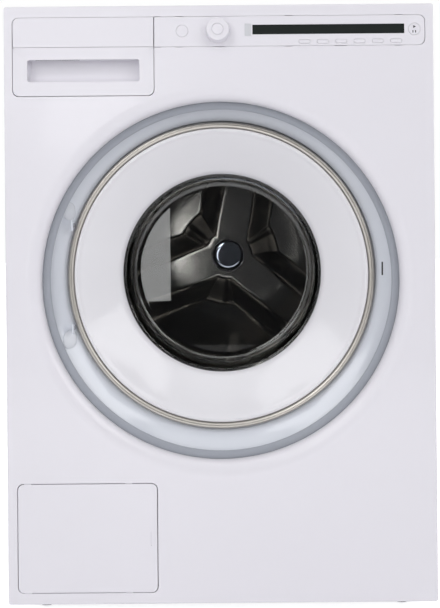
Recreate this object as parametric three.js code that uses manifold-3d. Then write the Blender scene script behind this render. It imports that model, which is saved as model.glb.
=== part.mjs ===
import * as THREE from 'three';
import { mergeVertices } from 'three/addons/utils/BufferGeometryUtils.js';
import Module from 'manifold-3d';

// A front-loading washing machine, in millimetres. +Z is up and the front faces -Y.
// The origin is on the floor, under the middle of the machine.
// A depth is a distance behind the front panel's face.

const wasm = await Module();
wasm.setup();

// Driving dimensions. The round opening sets the drum, the door and the cabinet around them.
const openingR = 250;
const bodyDepth = 585;
const sideMargin = 47.5;
const panelBelow = 195.4;
const panelAbove = 132.6;
const footHeight = 22;
const sheet = 1.2;
const fitGap = 0.3;
const overrun = 5;
const knobProud = 14;
const rearProud = 14;
const tubLift = 5.2;

const halfWidth = openingR + sideMargin;
const openingZ = footHeight + panelBelow + openingR;
const bodyHeight = openingZ + openingR + panelAbove;

// The tub has room round the opening, and the door has room inside it.
const tubBeyond = 18;
const drumInset = 3;
const doorInset = 33;
const windowInset = 72;
const tubR = openingR + tubBeyond;
const drumR = openingR - drumInset;
const doorR = openingR - doorInset;
const windowR = doorR - windowInset;
const frontY = -(bodyDepth + rearProud - knobProud) / 2;
const tubZ = openingZ + tubLift;
const ringSides = 36;
const roundSides = 16;
const smallSides = 8;
const nutSides = 6;
const cornerSteps = 2;

const white = { color: 0xe7e5ea, roughness: 0.35, metalness: 0 };
const glossWhite = { color: 0xe2e1e6, roughness: 0.15, metalness: 0 };
const bandGrey = { color: 0x9399a3, roughness: 0.7, metalness: 0 };
const collarGrey = { color: 0xc4c8d0, roughness: 0.2, metalness: 0 };
const polished = { color: 0xc9c6c0, roughness: 0.12, metalness: 1 };
const stainless = { color: 0x9c9a98, roughness: 0.25, metalness: 1 };
const darkGlass = { color: 0x242828, roughness: 0.1, metalness: 0 };
const clearGlass = { color: 0xdfe6ea, roughness: 0.05, metalness: 0, transparent: true, opacity: 0.35 };
const greyPlastic = { color: 0x8e9297, roughness: 0.5, metalness: 0 };
const blackPlastic = { color: 0x26282a, roughness: 0.5, metalness: 0 };
const blackRubber = { color: 0x1d1e1f, roughness: 0.8, metalness: 0 };
const galvanised = { color: 0xa7abae, roughness: 0.45, metalness: 0.9 };
const stone = { color: 0x8a8782, roughness: 0.9, metalness: 0 };

const machine = new THREE.Group();

// Merges a geometry's shared corners and turns its faces outwards.
function tidy(geometry) {
  const bare = geometry.clone();
  bare.deleteAttribute('normal');
  bare.deleteAttribute('uv');
  const merged = mergeVertices(bare);
  const index = Array.from(merged.index.array);
  const at = merged.attributes.position;
  const a = new THREE.Vector3();
  const b = new THREE.Vector3();
  const c = new THREE.Vector3();
  const kept = [];
  let volume = 0;
  for (let i = 0; i < index.length; i += 3) {
    const [p, q, r] = index.slice(i, i + 3);
    if (p === q || q === r || r === p) continue;
    kept.push(p, q, r);
    a.fromBufferAttribute(at, p);
    b.fromBufferAttribute(at, q);
    c.fromBufferAttribute(at, r);
    volume += a.dot(b.cross(c));
  }
  merged.setIndex(volume < 0 ? kept.reverse() : kept);
  return merged;
}

function toSolid(geometry) {
  const mesh = tidy(geometry);
  return new wasm.Manifold(new wasm.Mesh({
    numProp: 3,
    vertProperties: new Float32Array(mesh.attributes.position.array),
    triVerts: new Uint32Array(mesh.index.array),
  }));
}

function toGeometry(solid) {
  const mesh = solid.getMesh();
  const geometry = new THREE.BufferGeometry();
  geometry.setAttribute('position', new THREE.BufferAttribute(mesh.vertProperties, 3));
  geometry.setIndex(new THREE.BufferAttribute(mesh.triVerts, 1));
  return geometry;
}

function join(first, ...others) {
  return toGeometry(others.reduce((sum, one) => sum.add(toSolid(one)), toSolid(first)));
}

function cut(first, ...cutters) {
  return toGeometry(cutters.reduce((rest, one) => rest.subtract(toSolid(one)), toSolid(first)));
}

function keepInside(first, bound) {
  return toGeometry(toSolid(first).intersect(toSolid(bound)));
}

function add(name, geometry, look) {
  const mesh = new THREE.Mesh(tidy(geometry), new THREE.MeshStandardMaterial(look));
  mesh.name = name;
  machine.add(mesh);
}

// A box between two values of x, of depth and of height.
function block(x0, x1, d0, d1, z0, z1) {
  const geometry = new THREE.BoxGeometry(x1 - x0, d1 - d0, z1 - z0);
  return geometry.translate((x0 + x1) / 2, frontY + (d0 + d1) / 2, (z0 + z1) / 2);
}

// A flat piece with rounded corners, seen from the front, between two depths.
function plate(x0, x1, d0, d1, z0, z1, corner) {
  const shape = new THREE.Shape();
  shape.moveTo(x0 + corner, z0);
  shape.lineTo(x1 - corner, z0);
  shape.absarc(x1 - corner, z0 + corner, corner, -Math.PI / 2, 0);
  shape.lineTo(x1, z1 - corner);
  shape.absarc(x1 - corner, z1 - corner, corner, 0, Math.PI / 2);
  shape.lineTo(x0 + corner, z1);
  shape.absarc(x0 + corner, z1 - corner, corner, Math.PI / 2, Math.PI);
  shape.lineTo(x0, z0 + corner);
  shape.absarc(x0 + corner, z0 + corner, corner, Math.PI, Math.PI * 1.5);
  const options = { depth: d1 - d0, bevelEnabled: false, curveSegments: cornerSteps };
  const geometry = new THREE.ExtrudeGeometry(shape, options);
  return geometry.rotateX(Math.PI / 2).translate(0, frontY + d1, 0);
}

// A round bar that runs front to back.
function bar(x, z, r, d0, d1, sides = roundSides) {
  return new THREE.CylinderGeometry(r, r, d1 - d0, sides).translate(x, frontY + (d0 + d1) / 2, z);
}

// A round bar that stands upright.
function post(x, depth, r, z0, z1, sides = smallSides) {
  const geometry = new THREE.CylinderGeometry(r, r, z1 - z0, sides).rotateX(Math.PI / 2);
  return geometry.translate(x, frontY + depth, (z0 + z1) / 2);
}

// A ring turned about a front-to-back axis. Its outline is a list of radius and depth.
function turned(outline, sides = ringSides, axisZ = tubZ) {
  const points = outline.map(([r, depth]) => new THREE.Vector2(r, depth));
  const closed = points[0].x === 0 ? points : [...points, points[0].clone()];
  return new THREE.LatheGeometry(closed, sides).translate(0, frontY, axisZ);
}

// The control strip and the drawer share one line across the top of the front.
const topMargin = 15.4;
const leftMargin = 11.3;
const rightMargin = 11.8;
const stripTall = 42.4;
const drawerTall = 109;
const drawerWide = 196.8;
const stripTop = bodyHeight - topMargin;
const stripBottom = stripTop - stripTall;
const drawerLeft = -halfWidth + leftMargin;
const drawerRight = drawerLeft + drawerWide;
const drawerBottom = stripTop - drawerTall;
const stripRight = halfWidth - rightMargin;
const stripCorner = 8.7;
const seam = 0.5;

// The service flap, low on the left
const flapMargin = 13.6;
const flapWide = 194.4;
const flapRaise = 16.1;
const flapTall = 150.8;
const flapLeft = -halfWidth + flapMargin;
const flapRight = flapLeft + flapWide;
const flapBottom = footHeight + flapRaise;
const flapTop = flapBottom + flapTall;
const flapCorner = 8;
const flapGap = 1;
const flapHingeInset = 14.4;
const flapHingeX = flapLeft + flapHingeInset;
const flapHingeDepth = 6;
const flapPinR = 2.5;
const flapPinGap = 0.4;
const flapPlate = 2.5;
const flapRim = 8;
const hatchDepth = 18;

// The front panel
const panDepth = 19;
const panCorner = 2;
const rimRoll = 20;
const rimDepth = 14;
const rimSteps = 4;

function frontPanel() {
  const pan = cut(
    plate(-halfWidth, halfWidth, 0, panDepth, footHeight, bodyHeight, panCorner),
    block(-halfWidth + sheet, halfWidth - sheet, sheet, panDepth + overrun,
      footHeight + sheet, bodyHeight - sheet),
    bar(0, openingZ, openingR + rimRoll - sheet, -overrun, panDepth + overrun, ringSides),
    plate(drawerLeft - seam, drawerRight + seam, -overrun, panDepth,
      drawerBottom - seam, stripTop + seam, stripCorner),
    plate(drawerRight - seam, stripRight - seam + fitGap, -overrun, panDepth, stripBottom + seam - fitGap,
      stripTop - seam + fitGap, stripCorner),
    plate(flapLeft - flapGap, flapRight + flapGap, -overrun, panDepth,
      flapBottom - flapGap, flapTop + flapGap, flapCorner),
  );
  const outer = [];
  const inner = [];
  for (let i = 0; i <= rimSteps; i += 1) {
    const turn = (Math.PI / 2) * (i / rimSteps);
    const roll = Math.sin(turn);
    const fall = 1 - Math.cos(turn);
    outer.push([openingR + rimRoll - rimRoll * roll, rimDepth * fall]);
    inner.unshift([openingR + sheet + (rimRoll - sheet) * (1 - roll), sheet + (rimDepth - sheet) * fall]);
  }
  const rim = turned([...outer, ...inner], ringSides, openingZ);
  const frame = cut(
    plate(flapLeft - flapGap - sheet, flapRight + flapGap + sheet, 0, hatchDepth,
      flapBottom - flapGap - sheet, flapTop + flapGap + sheet, flapCorner),
    plate(flapLeft - flapGap, flapRight + flapGap, -overrun, panDepth,
      flapBottom - flapGap, flapTop + flapGap, flapCorner),
  );
  const pinHole = post(flapHingeX, flapHingeDepth, flapPinR + flapPinGap,
    flapBottom - flapGap - sheet - overrun, flapTop + flapGap + sheet + overrun);
  return cut(join(pan, rim, frame), pinHole);
}
add('front_panel', frontPanel(), white);

// The grey band behind the panel's rolled edge
const bandWide = 10.3;
const bandSeat = 9;
const bandInnerR = openingR - bandWide;
const bandDepth = 22;
const bandWall = 2;
const bandSeatR = openingR + bandSeat;
add('opening_band', turned([
  [openingR + sheet, rimDepth + fitGap],
  [openingR - sheet, rimDepth + fitGap],
  [bandInnerR, bandDepth - bandWall],
  [bandInnerR, bandDepth],
  [openingR, rimDepth + fitGap + bandWall],
  [bandSeatR, rimDepth + fitGap + bandWall],
  [bandSeatR, rimDepth + fitGap],
], ringSides, openingZ), bandGrey);

// The two side panels, each a plate with its front, rear and top folds
const sideFold = 11;
const topCoverHeight = 14;
const sideTop = bodyHeight - topCoverHeight - fitGap;
const sideFront = panDepth + fitGap;
function sidePanel(side) {
  function across(x0, x1, ...rest) {
    return block(Math.min(side * x0, side * x1), Math.max(side * x0, side * x1), ...rest);
  }
  return cut(
    across(halfWidth - sideFold, halfWidth, sideFront, bodyDepth, footHeight, sideTop),
    across(halfWidth - sideFold - overrun, halfWidth - sheet, sideFront + sheet, bodyDepth - sheet,
      footHeight - overrun, sideTop - sheet),
  );
}
add('left_side_panel', sidePanel(-1), white);
add('right_side_panel', sidePanel(1), white);

// The top cover
const coverWall = 3;
add('top_cover', cut(
  block(-halfWidth, halfWidth, sideFront, bodyDepth, bodyHeight - topCoverHeight, bodyHeight),
  block(-halfWidth + sideFold + coverWall, halfWidth - sideFold - coverWall, sideFront + coverWall,
    bodyDepth - coverWall, bodyHeight - topCoverHeight - overrun, bodyHeight - coverWall),
), white);

// The base frame, with a rail under each pair of struts and a threaded boss over each foot
const baseFront = panDepth + sheet + fitGap * 2;
const baseBack = bodyDepth - sheet * 2 - fitGap * 2;
const baseHalf = halfWidth - sheet - fitGap;
const baseTop = 62;
const baseLip = 26;
const strutShare = 0.765;
const strutForward = 2.5;
const strutX = tubR * strutShare;
const strutDepth = bodyDepth / 2 - strutForward;
const strutRailHalf = 24;
const strutRailWall = 3;
const footInset = 42.5;
const footX = halfWidth - footInset;
const footFrontDepth = 64;
const footBackInset = 45;
const footBackDepth = bodyDepth - footBackInset;
const footPlateHalf = 32;
const footPlate = 3;
const footBossR = 11;
const footBossTop = 40;
const stemR = 5;
const footDepths = [footFrontDepth, footBackDepth];
const footSides = [-1, 1];
function baseFrame() {
  const walls = cut(
    block(-baseHalf, baseHalf, baseFront, baseBack, footHeight, baseTop),
    block(-baseHalf + sheet, baseHalf - sheet, baseFront + sheet, baseBack - sheet,
      footHeight - overrun, baseTop + overrun),
  );
  const lip = cut(
    block(-baseHalf, baseHalf, baseFront, baseBack, footHeight, footHeight + footPlate),
    block(-baseHalf + baseLip, baseHalf - baseLip, baseFront + baseLip, baseBack - baseLip,
      footHeight - overrun, footHeight + footPlate + overrun),
  );
  const rail = cut(
    block(-baseHalf, baseHalf, strutDepth - strutRailHalf, strutDepth + strutRailHalf, footHeight, baseTop),
    block(-baseHalf + sheet, baseHalf - sheet, strutDepth - strutRailHalf + strutRailWall,
      strutDepth + strutRailHalf - strutRailWall, footHeight - overrun, baseTop - strutRailWall),
  );
  const bosses = [];
  const holes = [];
  for (const side of footSides) {
    for (const depth of footDepths) {
      const x = side * footX;
      bosses.push(block(x - footPlateHalf, x + footPlateHalf, depth - footPlateHalf, depth + footPlateHalf,
        footHeight, footHeight + footPlate));
      bosses.push(post(x, depth, footBossR, footHeight, footBossTop));
      holes.push(post(x, depth, stemR + fitGap, footHeight - overrun, footBossTop + overrun));
    }
  }
  return cut(join(walls, lip, rail, ...bosses), ...holes);
}
add('base_frame', baseFrame(), galvanised);

// The four feet: a pad, a lock nut and a threaded stem each
const padR = 20;
const padHeight = 10;
const nutR = 9;
const nutTop = footHeight - fitGap;
const stemTop = 38;
const cornerNames = { '-1': 'left', '1': 'right' };
for (const side of footSides) {
  for (const depth of footDepths) {
    const x = side * footX;
    const end = depth === footFrontDepth ? 'front' : 'rear';
    const foot = join(
      post(x, depth, padR, 0, padHeight, roundSides),
      post(x, depth, nutR, padHeight - sheet, nutTop, nutSides),
      post(x, depth, stemR, padHeight, stemTop),
    );
    add(`foot_${end}_${cornerNames[side]}`, foot, blackRubber);
  }
}

// The rear panel, with its round service hole and the holes for the inlet and the mains gland
const rearPanelFace = bodyDepth - sheet - fitGap;
const serviceInset = 108;
const serviceHoleR = tubR - serviceInset;
const valveInset = 77.5;
const valveDrop = 65;
const valveX = halfWidth - valveInset;
const valveZ = bodyHeight - valveDrop;
const valveBoreR = 11;
const valveBody = 22;
const valveLength = 40;
const valveBodyDepth = bodyDepth - valveLength;
const glandInset = 62.5;
const glandX = -halfWidth + glandInset;
const glandZ = valveZ;
const glandR = 9;
const glandProud = 8;
const glandNutR = 14;
const glandNutDepth = 6;
add('rear_panel', cut(
  block(-baseHalf, baseHalf, rearPanelFace - sheet, rearPanelFace,
    baseTop + fitGap, sideTop - sheet - fitGap),
  bar(0, tubZ, serviceHoleR, rearPanelFace - overrun, rearPanelFace + overrun, ringSides),
  bar(valveX, valveZ, valveBoreR, rearPanelFace - overrun, rearPanelFace + overrun),
  bar(glandX, glandZ, glandR + fitGap, rearPanelFace - overrun, rearPanelFace + overrun),
), galvanised);

// The cover over the rear service hole
const coverFlange = 12;
const coverDome = 8;
const coverSlope = 14;
const coverFace = rearPanelFace + fitGap;
add('rear_access_cover', turned([
  [0, coverFace + coverDome],
  [serviceHoleR - coverSlope, coverFace + coverDome],
  [serviceHoleR, coverFace + sheet],
  [serviceHoleR + coverFlange, coverFace + sheet],
  [serviceHoleR + coverFlange, coverFace],
  [serviceHoleR - sheet, coverFace],
  [serviceHoleR - coverSlope - sheet, coverFace + coverDome - sheet],
  [0, coverFace + coverDome - sheet],
]), galvanised);

// The water inlet valve, with its hose thread standing out of the rear
add('water_inlet_valve', join(
  block(valveX - valveBody, valveX + valveBody, valveBodyDepth, rearPanelFace - sheet - fitGap,
    valveZ - valveBody, valveZ + valveBody),
  bar(valveX, valveZ, valveBoreR - fitGap, valveBodyDepth, bodyDepth + rearProud),
), greyPlastic);

// The mains gland, empty because the photograph shows no lead
add('mains_gland', join(
  bar(glandX, glandZ, glandR, rearPanelFace - sheet - fitGap - glandNutDepth, bodyDepth + glandProud),
  bar(glandX, glandZ, glandNutR, rearPanelFace - sheet - fitGap - glandNutDepth,
    rearPanelFace - sheet - fitGap, nutSides),
), blackPlastic);

// The control panel: a strip with a rim behind it and a hole for each control
const panelPlate = 3;
const panelRim = 26;
const panelWall = 1.6;
const controlDrop = 20.2;
const powerInset = 39.1;
const knobSpacing = 49.5;
const displaySpacing = 47.8;
const displayInset = 28.5;
const startSpacing = 14.2;
const controlZ = stripTop - controlDrop;
const powerX = drawerRight + powerInset;
const knobX = powerX + knobSpacing;
const displayLeft = knobX + displaySpacing;
const displayRight = stripRight - displayInset;
const startX = displayRight + startSpacing;
const roundButtonR = 8.2;
const knobR = 17.2;
const knobCapR = 7.5;
const knobStemR = 4;
const optionCount = 6;
const optionPitch = 25.34;
const optionInset = 11.4;
const optionRaise = 6.3;
const optionX = [];
for (let i = 0; i < optionCount; i += 1) {
  optionX.unshift(displayRight - optionInset - optionPitch * i);
}
const optionZ = stripBottom + optionRaise;
const optionHalf = 7.85;
const optionTall = 2.65;
const displayRaise = 16.6;
const displayDrop = 12.4;
const displayBottom = stripBottom + displayRaise;
const displayTop = stripTop - displayDrop;
const displayRecess = 1;
const displayPlate = 2;
const displayCorner = 0.5;
const buttonGap = 0.4;
function controlPanel() {
  const left = drawerRight + seam;
  const right = stripRight - seam;
  const low = stripBottom + seam;
  const high = stripTop - seam;
  const inner = stripCorner - panelWall;
  const pan = cut(
    plate(left, right, 0, panelRim, low, high, stripCorner),
    plate(left + panelWall, right - panelWall, panelPlate, panelRim + overrun,
      low + panelWall, high - panelWall, inner),
  );
  const holes = [
    bar(powerX, controlZ, roundButtonR + buttonGap, -overrun, panelPlate + overrun),
    bar(startX, controlZ, roundButtonR + buttonGap, -overrun, panelPlate + overrun),
    bar(knobX, controlZ, knobStemR + fitGap, -overrun, panelPlate + overrun),
    plate(displayLeft - fitGap, displayRight + fitGap, -overrun, panelPlate + overrun,
      displayBottom - fitGap, displayTop + fitGap, displayCorner),
  ];
  for (const x of optionX) {
    holes.push(plate(x - optionHalf - buttonGap, x + optionHalf + buttonGap, -overrun, panelPlate + overrun,
      optionZ - optionTall - buttonGap, optionZ + optionTall + buttonGap, optionTall));
  }
  return cut(pan, ...holes);
}
add('control_panel', controlPanel(), white);
add('display_window', plate(displayLeft, displayRight, displayRecess, displayRecess + displayPlate,
  displayBottom, displayTop, displayCorner), darkGlass);

// The small silver plate beside the display
const plateGap = 1.8;
const plateWide = 9;
const plateBelow = 2.2;
const plateAbove = 1.5;
const plateRight = displayLeft - plateGap;
const plateLeft = plateRight - plateWide;
const plateBottom = displayBottom - plateBelow;
const plateTop = displayTop + plateAbove;
const plateProud = 0.4;
add('silver_plate', plate(plateLeft, plateRight, -fitGap - plateProud, -fitGap, plateBottom, plateTop,
  displayCorner), stainless);

// The buttons and the knob
const buttonProud = 0.6;
const buttonBack = 14;
add('power_button', bar(powerX, controlZ, roundButtonR, -buttonProud, buttonBack), white);
add('start_button', bar(startX, controlZ, roundButtonR, -buttonProud, buttonBack), white);
optionX.forEach((x, i) => {
  add(`option_button_${i + 1}`, plate(x - optionHalf, x + optionHalf, -buttonProud, buttonBack,
    optionZ - optionTall, optionZ + optionTall, optionTall - sheet / 2), white);
});
const knobSkirt = 1.5;
const knobEdge = 2;
const knobDish = 1;
add('program_knob', turned([
  [0, -knobProud + knobDish],
  [knobCapR, -knobProud + knobDish],
  [knobCapR + knobDish, -knobProud],
  [knobR - knobEdge - knobSkirt, -knobProud],
  [knobR - knobSkirt, -knobProud + knobEdge],
  [knobR, -fitGap],
  [knobStemR, -fitGap],
  [knobStemR, buttonBack],
  [0, buttonBack],
], roundSides, controlZ).translate(knobX, 0, 0), white);

// The detergent drawer: its front with a finger recess, and its tray
const drawerFrontDepth = 24;
const recessInset = 21.4;
const recessWide = 154.8;
const recessRaise = 20;
const recessTall = 30.3;
const recessLeft = drawerLeft + recessInset;
const recessRight = recessLeft + recessWide;
const recessBottom = drawerBottom + recessRaise;
const recessTop = recessBottom + recessTall;
const recessDepth = 19;
const recessLip = 4;
const recessUndercut = 10;
const recessCorner = 2.8;
add('drawer_front', cut(
  plate(drawerLeft + seam, drawerRight - seam, 0, drawerFrontDepth,
    drawerBottom + seam, stripTop - seam, stripCorner),
  plate(recessLeft, recessRight, -overrun, recessDepth, recessBottom, recessTop, recessCorner),
  block(recessLeft, recessRight, recessLip, recessDepth,
    recessBottom + recessUndercut, recessTop + recessUndercut),
), white);
const housingInset = 2.2;
const housingRaise = 12.4;
const housingDrop = 6.6;
const housingLeft = drawerLeft + housingInset;
const housingRight = drawerRight - housingInset;
const housingBottom = drawerBottom + housingRaise;
const housingTop = stripTop - housingDrop;
const housingWall = 2;
const housingBack = 330;
const trayLeft = housingLeft + housingWall + fitGap;
const trayRight = housingRight - housingWall - fitGap;
const trayBottom = housingBottom + housingWall + fitGap;
const trayTall = 45.7;
const trayTop = trayBottom + trayTall;
const trayWall = 1.8;
const trayBackGap = 30;
const trayBack = housingBack - trayBackGap;
const trayShares = [0, 0.36, 0.68, 1];
function drawerTray() {
  const pockets = [];
  const span = trayRight - trayLeft - trayWall;
  for (let i = 0; i < trayShares.length - 1; i += 1) {
    const left = trayLeft + span * trayShares[i] + trayWall;
    const right = trayLeft + span * trayShares[i + 1];
    pockets.push(block(left, right, drawerFrontDepth + fitGap + trayWall, trayBack - trayWall,
      trayBottom + trayWall, trayTop + overrun));
  }
  const solid = block(trayLeft, trayRight, drawerFrontDepth + fitGap, trayBack, trayBottom, trayTop);
  return cut(solid, ...pockets);
}
add('drawer_tray', drawerTray(), greyPlastic);
add('drawer_housing', cut(
  block(housingLeft, housingRight, panelRim + fitGap, housingBack, housingBottom, housingTop),
  block(housingLeft + housingWall, housingRight - housingWall, 0, housingBack - housingWall,
    housingBottom + housingWall, housingTop - housingWall),
), greyPlastic);

// The service flap, with a pin at the top and bottom of its left side
const flapLeftGap = 1;
add('service_flap', join(
  cut(
    plate(flapLeft + flapLeftGap, flapRight - flapGap, 0, flapRim,
      flapBottom + seam, flapTop - seam, flapCorner),
    plate(flapLeft + flapLeftGap + flapPlate, flapRight - flapGap - flapPlate, flapPlate, flapRim + overrun,
      flapBottom + seam + flapPlate, flapTop - seam - flapPlate, flapCorner - flapPlate),
  ),
  post(flapHingeX, flapHingeDepth, flapPinR, flapTop - seam - flapPlate, flapTop + flapGap + sheet),
  post(flapHingeX, flapHingeDepth, flapPinR, flapBottom - flapGap - sheet, flapBottom + seam + flapPlate),
), white);

// The drain pump behind the flap, with its filter cap
const pumpInset = 97.9;
const pumpRaise = 73.9;
const pumpX = flapLeft + pumpInset;
const pumpZ = flapBottom + pumpRaise;
const filterR = 34;
const capGripShare = 0.7;
const capGripLong = filterR * capGripShare;
const capGripHalf = 4;
const capDepth = 32;
const capBack = 46;
const capGrip = 9;
const pumpMouthR = 40;
const pumpMouthDepth = 34;
const pumpMouthBack = 110;
const pumpMotorR = 30;
const pumpMotorBack = 190;
const pumpFootHalf = 26;
const pumpFootFront = 38;
const pumpFootDrop = 37;
const pumpFootTop = pumpZ - pumpFootDrop;
add('drain_pump', join(
  cut(
    bar(pumpX, pumpZ, pumpMouthR, pumpMouthDepth, pumpMouthBack),
    bar(pumpX, pumpZ, filterR + fitGap * 2, pumpMouthDepth - overrun, capBack + fitGap),
  ),
  bar(pumpX, pumpZ, pumpMotorR, pumpMouthBack - sheet, pumpMotorBack),
  cut(
    block(pumpX - pumpFootHalf, pumpX + pumpFootHalf, pumpFootFront, pumpMouthBack,
      footHeight + footPlate + fitGap, pumpFootTop),
    block(pumpX - pumpFootHalf - overrun, pumpX + pumpFootHalf + overrun, baseFront, pumpMouthBack + overrun,
      footHeight, footHeight + footPlate),
  ),
), greyPlastic);
add('filter_cap', join(
  bar(pumpX, pumpZ, filterR, capDepth, capBack),
  block(pumpX - capGripLong, pumpX + capGripLong, capDepth - capGrip, capDepth + sheet,
    pumpZ - capGripHalf, pumpZ + capGripHalf),
), blackPlastic);

// The outer tub, its front and the collar ring that the tub carries
const tubWall = 5;
const tubFlange = 5;
const tubJoint = 112;
const tubJointHalf = 8;
const tubBackRoom = 101;
const tubBack = bodyDepth - tubBackRoom;
const tubBackWall = 6;
const tubShoulder = 16;
const hubR = 38;
const hubBackRoom = 49;
const hubBack = bodyDepth - hubBackRoom;
const bearingR = 26;
const hubFront = tubBack - tubBackWall;
const strutLugHalf = 16;
const lugBottomShare = 0.756;
const lugTopShare = 0.532;
const rodSeatShare = 0.6815;
const strutLugBottom = tubZ - tubR * lugBottomShare;
const strutLugTop = tubZ - tubR * lugTopShare;
const rodR = 6;
const rodHole = rodR + fitGap;
const rodSeatTop = tubZ - tubR * rodSeatShare;
function outerTub() {
  const shell = turned([
    [tubR - tubWall, tubJoint + fitGap],
    [tubR + tubFlange, tubJoint + fitGap],
    [tubR + tubFlange, tubJoint + tubJointHalf],
    [tubR, tubJoint + tubJointHalf],
    [tubR, tubBack - tubShoulder],
    [tubR - tubShoulder, tubBack],
    [hubR, tubBack],
    [hubR, hubBack],
    [bearingR, hubBack],
    [bearingR, hubFront],
    [tubR - tubShoulder - tubWall / 2, hubFront],
    [tubR - tubWall, tubBack - tubShoulder - tubWall / 2],
  ]);
  const space = bar(0, tubZ, tubR - tubWall / 2, tubJoint, hubFront, ringSides);
  const lugs = footSides.map((side) => cut(
    block(side * strutX - strutLugHalf, side * strutX + strutLugHalf, strutDepth - strutLugHalf,
      strutDepth + strutLugHalf, strutLugBottom, strutLugTop),
    space,
    post(side * strutX, strutDepth, rodHole, strutLugBottom - overrun, rodSeatTop),
  ));
  return join(shell, ...lugs);
}
add('outer_tub', outerTub(), greyPlastic);

const pocketGap = 3;
const pocketR = doorR + pocketGap;
const collarBack = 76;
const tubFrontFace = collarBack + fitGap;
const tubLipInset = 35;
const tubLipR = pocketR - tubLipInset;
const tubFrontWall = 4.5;
const tubFaceBeyond = 11;
const tubFaceR = pocketR + tubFaceBeyond;
const tubConeDepth = 98;
const lockZHalf = 12;
const lockInset = 4;
const lockWide = 16;
const lockOuter = pocketR - lockInset;
const lockInner = lockOuter - lockWide;
add('tub_front', cut(
  turned([
    [tubLipR, tubFrontFace],
    [tubFaceR, tubFrontFace],
    [tubR, tubConeDepth],
    [tubR + tubFlange, tubConeDepth],
    [tubR + tubFlange, tubJoint],
    [tubR - tubWall, tubJoint],
    [tubR - tubWall, tubConeDepth + tubFrontWall],
    [tubFaceR - tubFrontWall / 2, tubFrontFace + tubFrontWall],
    [tubLipR, tubFrontFace + tubFrontWall],
  ]),
  block(lockInner, lockOuter, tubFrontFace - overrun, tubFrontFace + tubFrontWall + overrun,
    tubZ - lockZHalf, tubZ + lockZHalf),
), greyPlastic);

const collarWall = 2.5;
const hingeInset = 7;
const hingeX = -(doorR - hingeInset);
const hingeDepth = 26;
const hingeZ = 73;
const hingeHalf = 8;
const slotBeyond = 9.4;
const slotX = pocketR + slotBeyond;
const slotRaise = 7.6;
const slotZ = tubZ + slotRaise;
const slotHalf = 9.5;
const slotWide = 2.4;
const hingeSlotOut = 6;
const hingeSlotIn = 10;
const hingeSlotLeft = hingeX - hingeSlotOut;
const hingeSlotRight = hingeX + hingeSlotIn;
const hingeSlotBack = 64;
const hingeSides = [-1, 1];
const pillShift = 2;
const pillX = hingeX - pillShift;
const pillSpacing = 23;
const pillZ = hingeZ + pillSpacing;
const pillHalf = 8;
const pillTall = 13;
const pillFront = 30;
const pillBack = 45;
// The collar's hollow front: each point's share of the way out to the band, and of the way forward
const collarDeep = 44;
const collarShallow = 25;
const collarShares = [[0, 0], [0.32, 0.21], [0.64, 0.5], [0.86, 0.74], [1, 1]];
const collarFront = collarShares.map(([out, forward]) => [
  pocketR + (openingR - pocketR) * out,
  collarDeep - (collarDeep - collarShallow) * forward,
]);
const collarRear = collarFront.slice(1).reverse().map(([r, depth]) => [
  r + collarWall / 2,
  depth + collarWall,
]);
const collarBody = turned([
  [pocketR, collarBack],
  ...collarFront,
  ...collarRear,
  [pocketR + collarWall, collarFront[0][1] + collarWall],
  [pocketR + collarWall, collarBack],
]);
// A pill-shaped cover moulded over each hinge's screws
const pills = hingeSides.map((side) => plate(pillX - pillHalf, pillX + pillHalf, pillFront, pillBack,
  tubZ + side * pillZ - pillTall, tubZ + side * pillZ + pillTall, pillHalf - sheet));
add('collar_ring', cut(
  join(collarBody, ...pills),
  block(slotX - slotWide / 2, slotX + slotWide / 2, bandDepth, collarBack,
    slotZ - slotHalf, slotZ + slotHalf),
  ...hingeSides.map((side) => block(hingeSlotLeft, hingeSlotRight, bandDepth, hingeSlotBack,
    tubZ + side * hingeZ - hingeHalf - buttonGap, tubZ + side * hingeZ + hingeHalf + buttonGap)),
), collarGrey);

// The door lock behind the tub front
const lockBack = 104;
const lockWall = 2.5;
const lockFace = tubFrontFace + tubFrontWall + fitGap;
add('door_lock', cut(
  block(lockInner - lockWall, lockOuter + lockWall, lockFace, lockBack,
    tubZ - lockZHalf - lockWall, tubZ + lockZHalf + lockWall),
  block(lockInner, lockOuter, lockFace - overrun, lockBack - lockWall, tubZ - lockZHalf, tubZ + lockZHalf),
), blackPlastic);

// The bearing in the tub's hub
const shaftR = 12;
const bearingGap = 0.25;
add('shaft_bearing', turned([
  [shaftR + bearingGap, hubFront],
  [bearingR - fitGap, hubFront],
  [bearingR - fitGap, hubBack],
  [shaftR + bearingGap, hubBack],
], roundSides), stainless);

// The struts: a cylinder on the base and a rod on the tub, at each side
const strutR = 15;
const strutTopShare = 0.6635;
const rodBottomShare = 0.327;
const strutTop = baseTop + (strutLugBottom - baseTop) * strutTopShare;
const rodBottom = baseTop + (strutLugBottom - baseTop) * rodBottomShare;
const strutBore = rodR + fitGap * 2;
for (const side of footSides) {
  const name = cornerNames[side];
  add(`strut_cylinder_${name}`, cut(
    post(side * strutX, strutDepth, strutR, baseTop + fitGap, strutTop),
    post(side * strutX, strutDepth, strutBore, rodBottom - strutR, strutTop + overrun),
  ), galvanised);
  add(`strut_rod_${name}`, post(side * strutX, strutDepth, rodR, rodBottom, rodSeatTop - fitGap), stainless);
}

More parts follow.
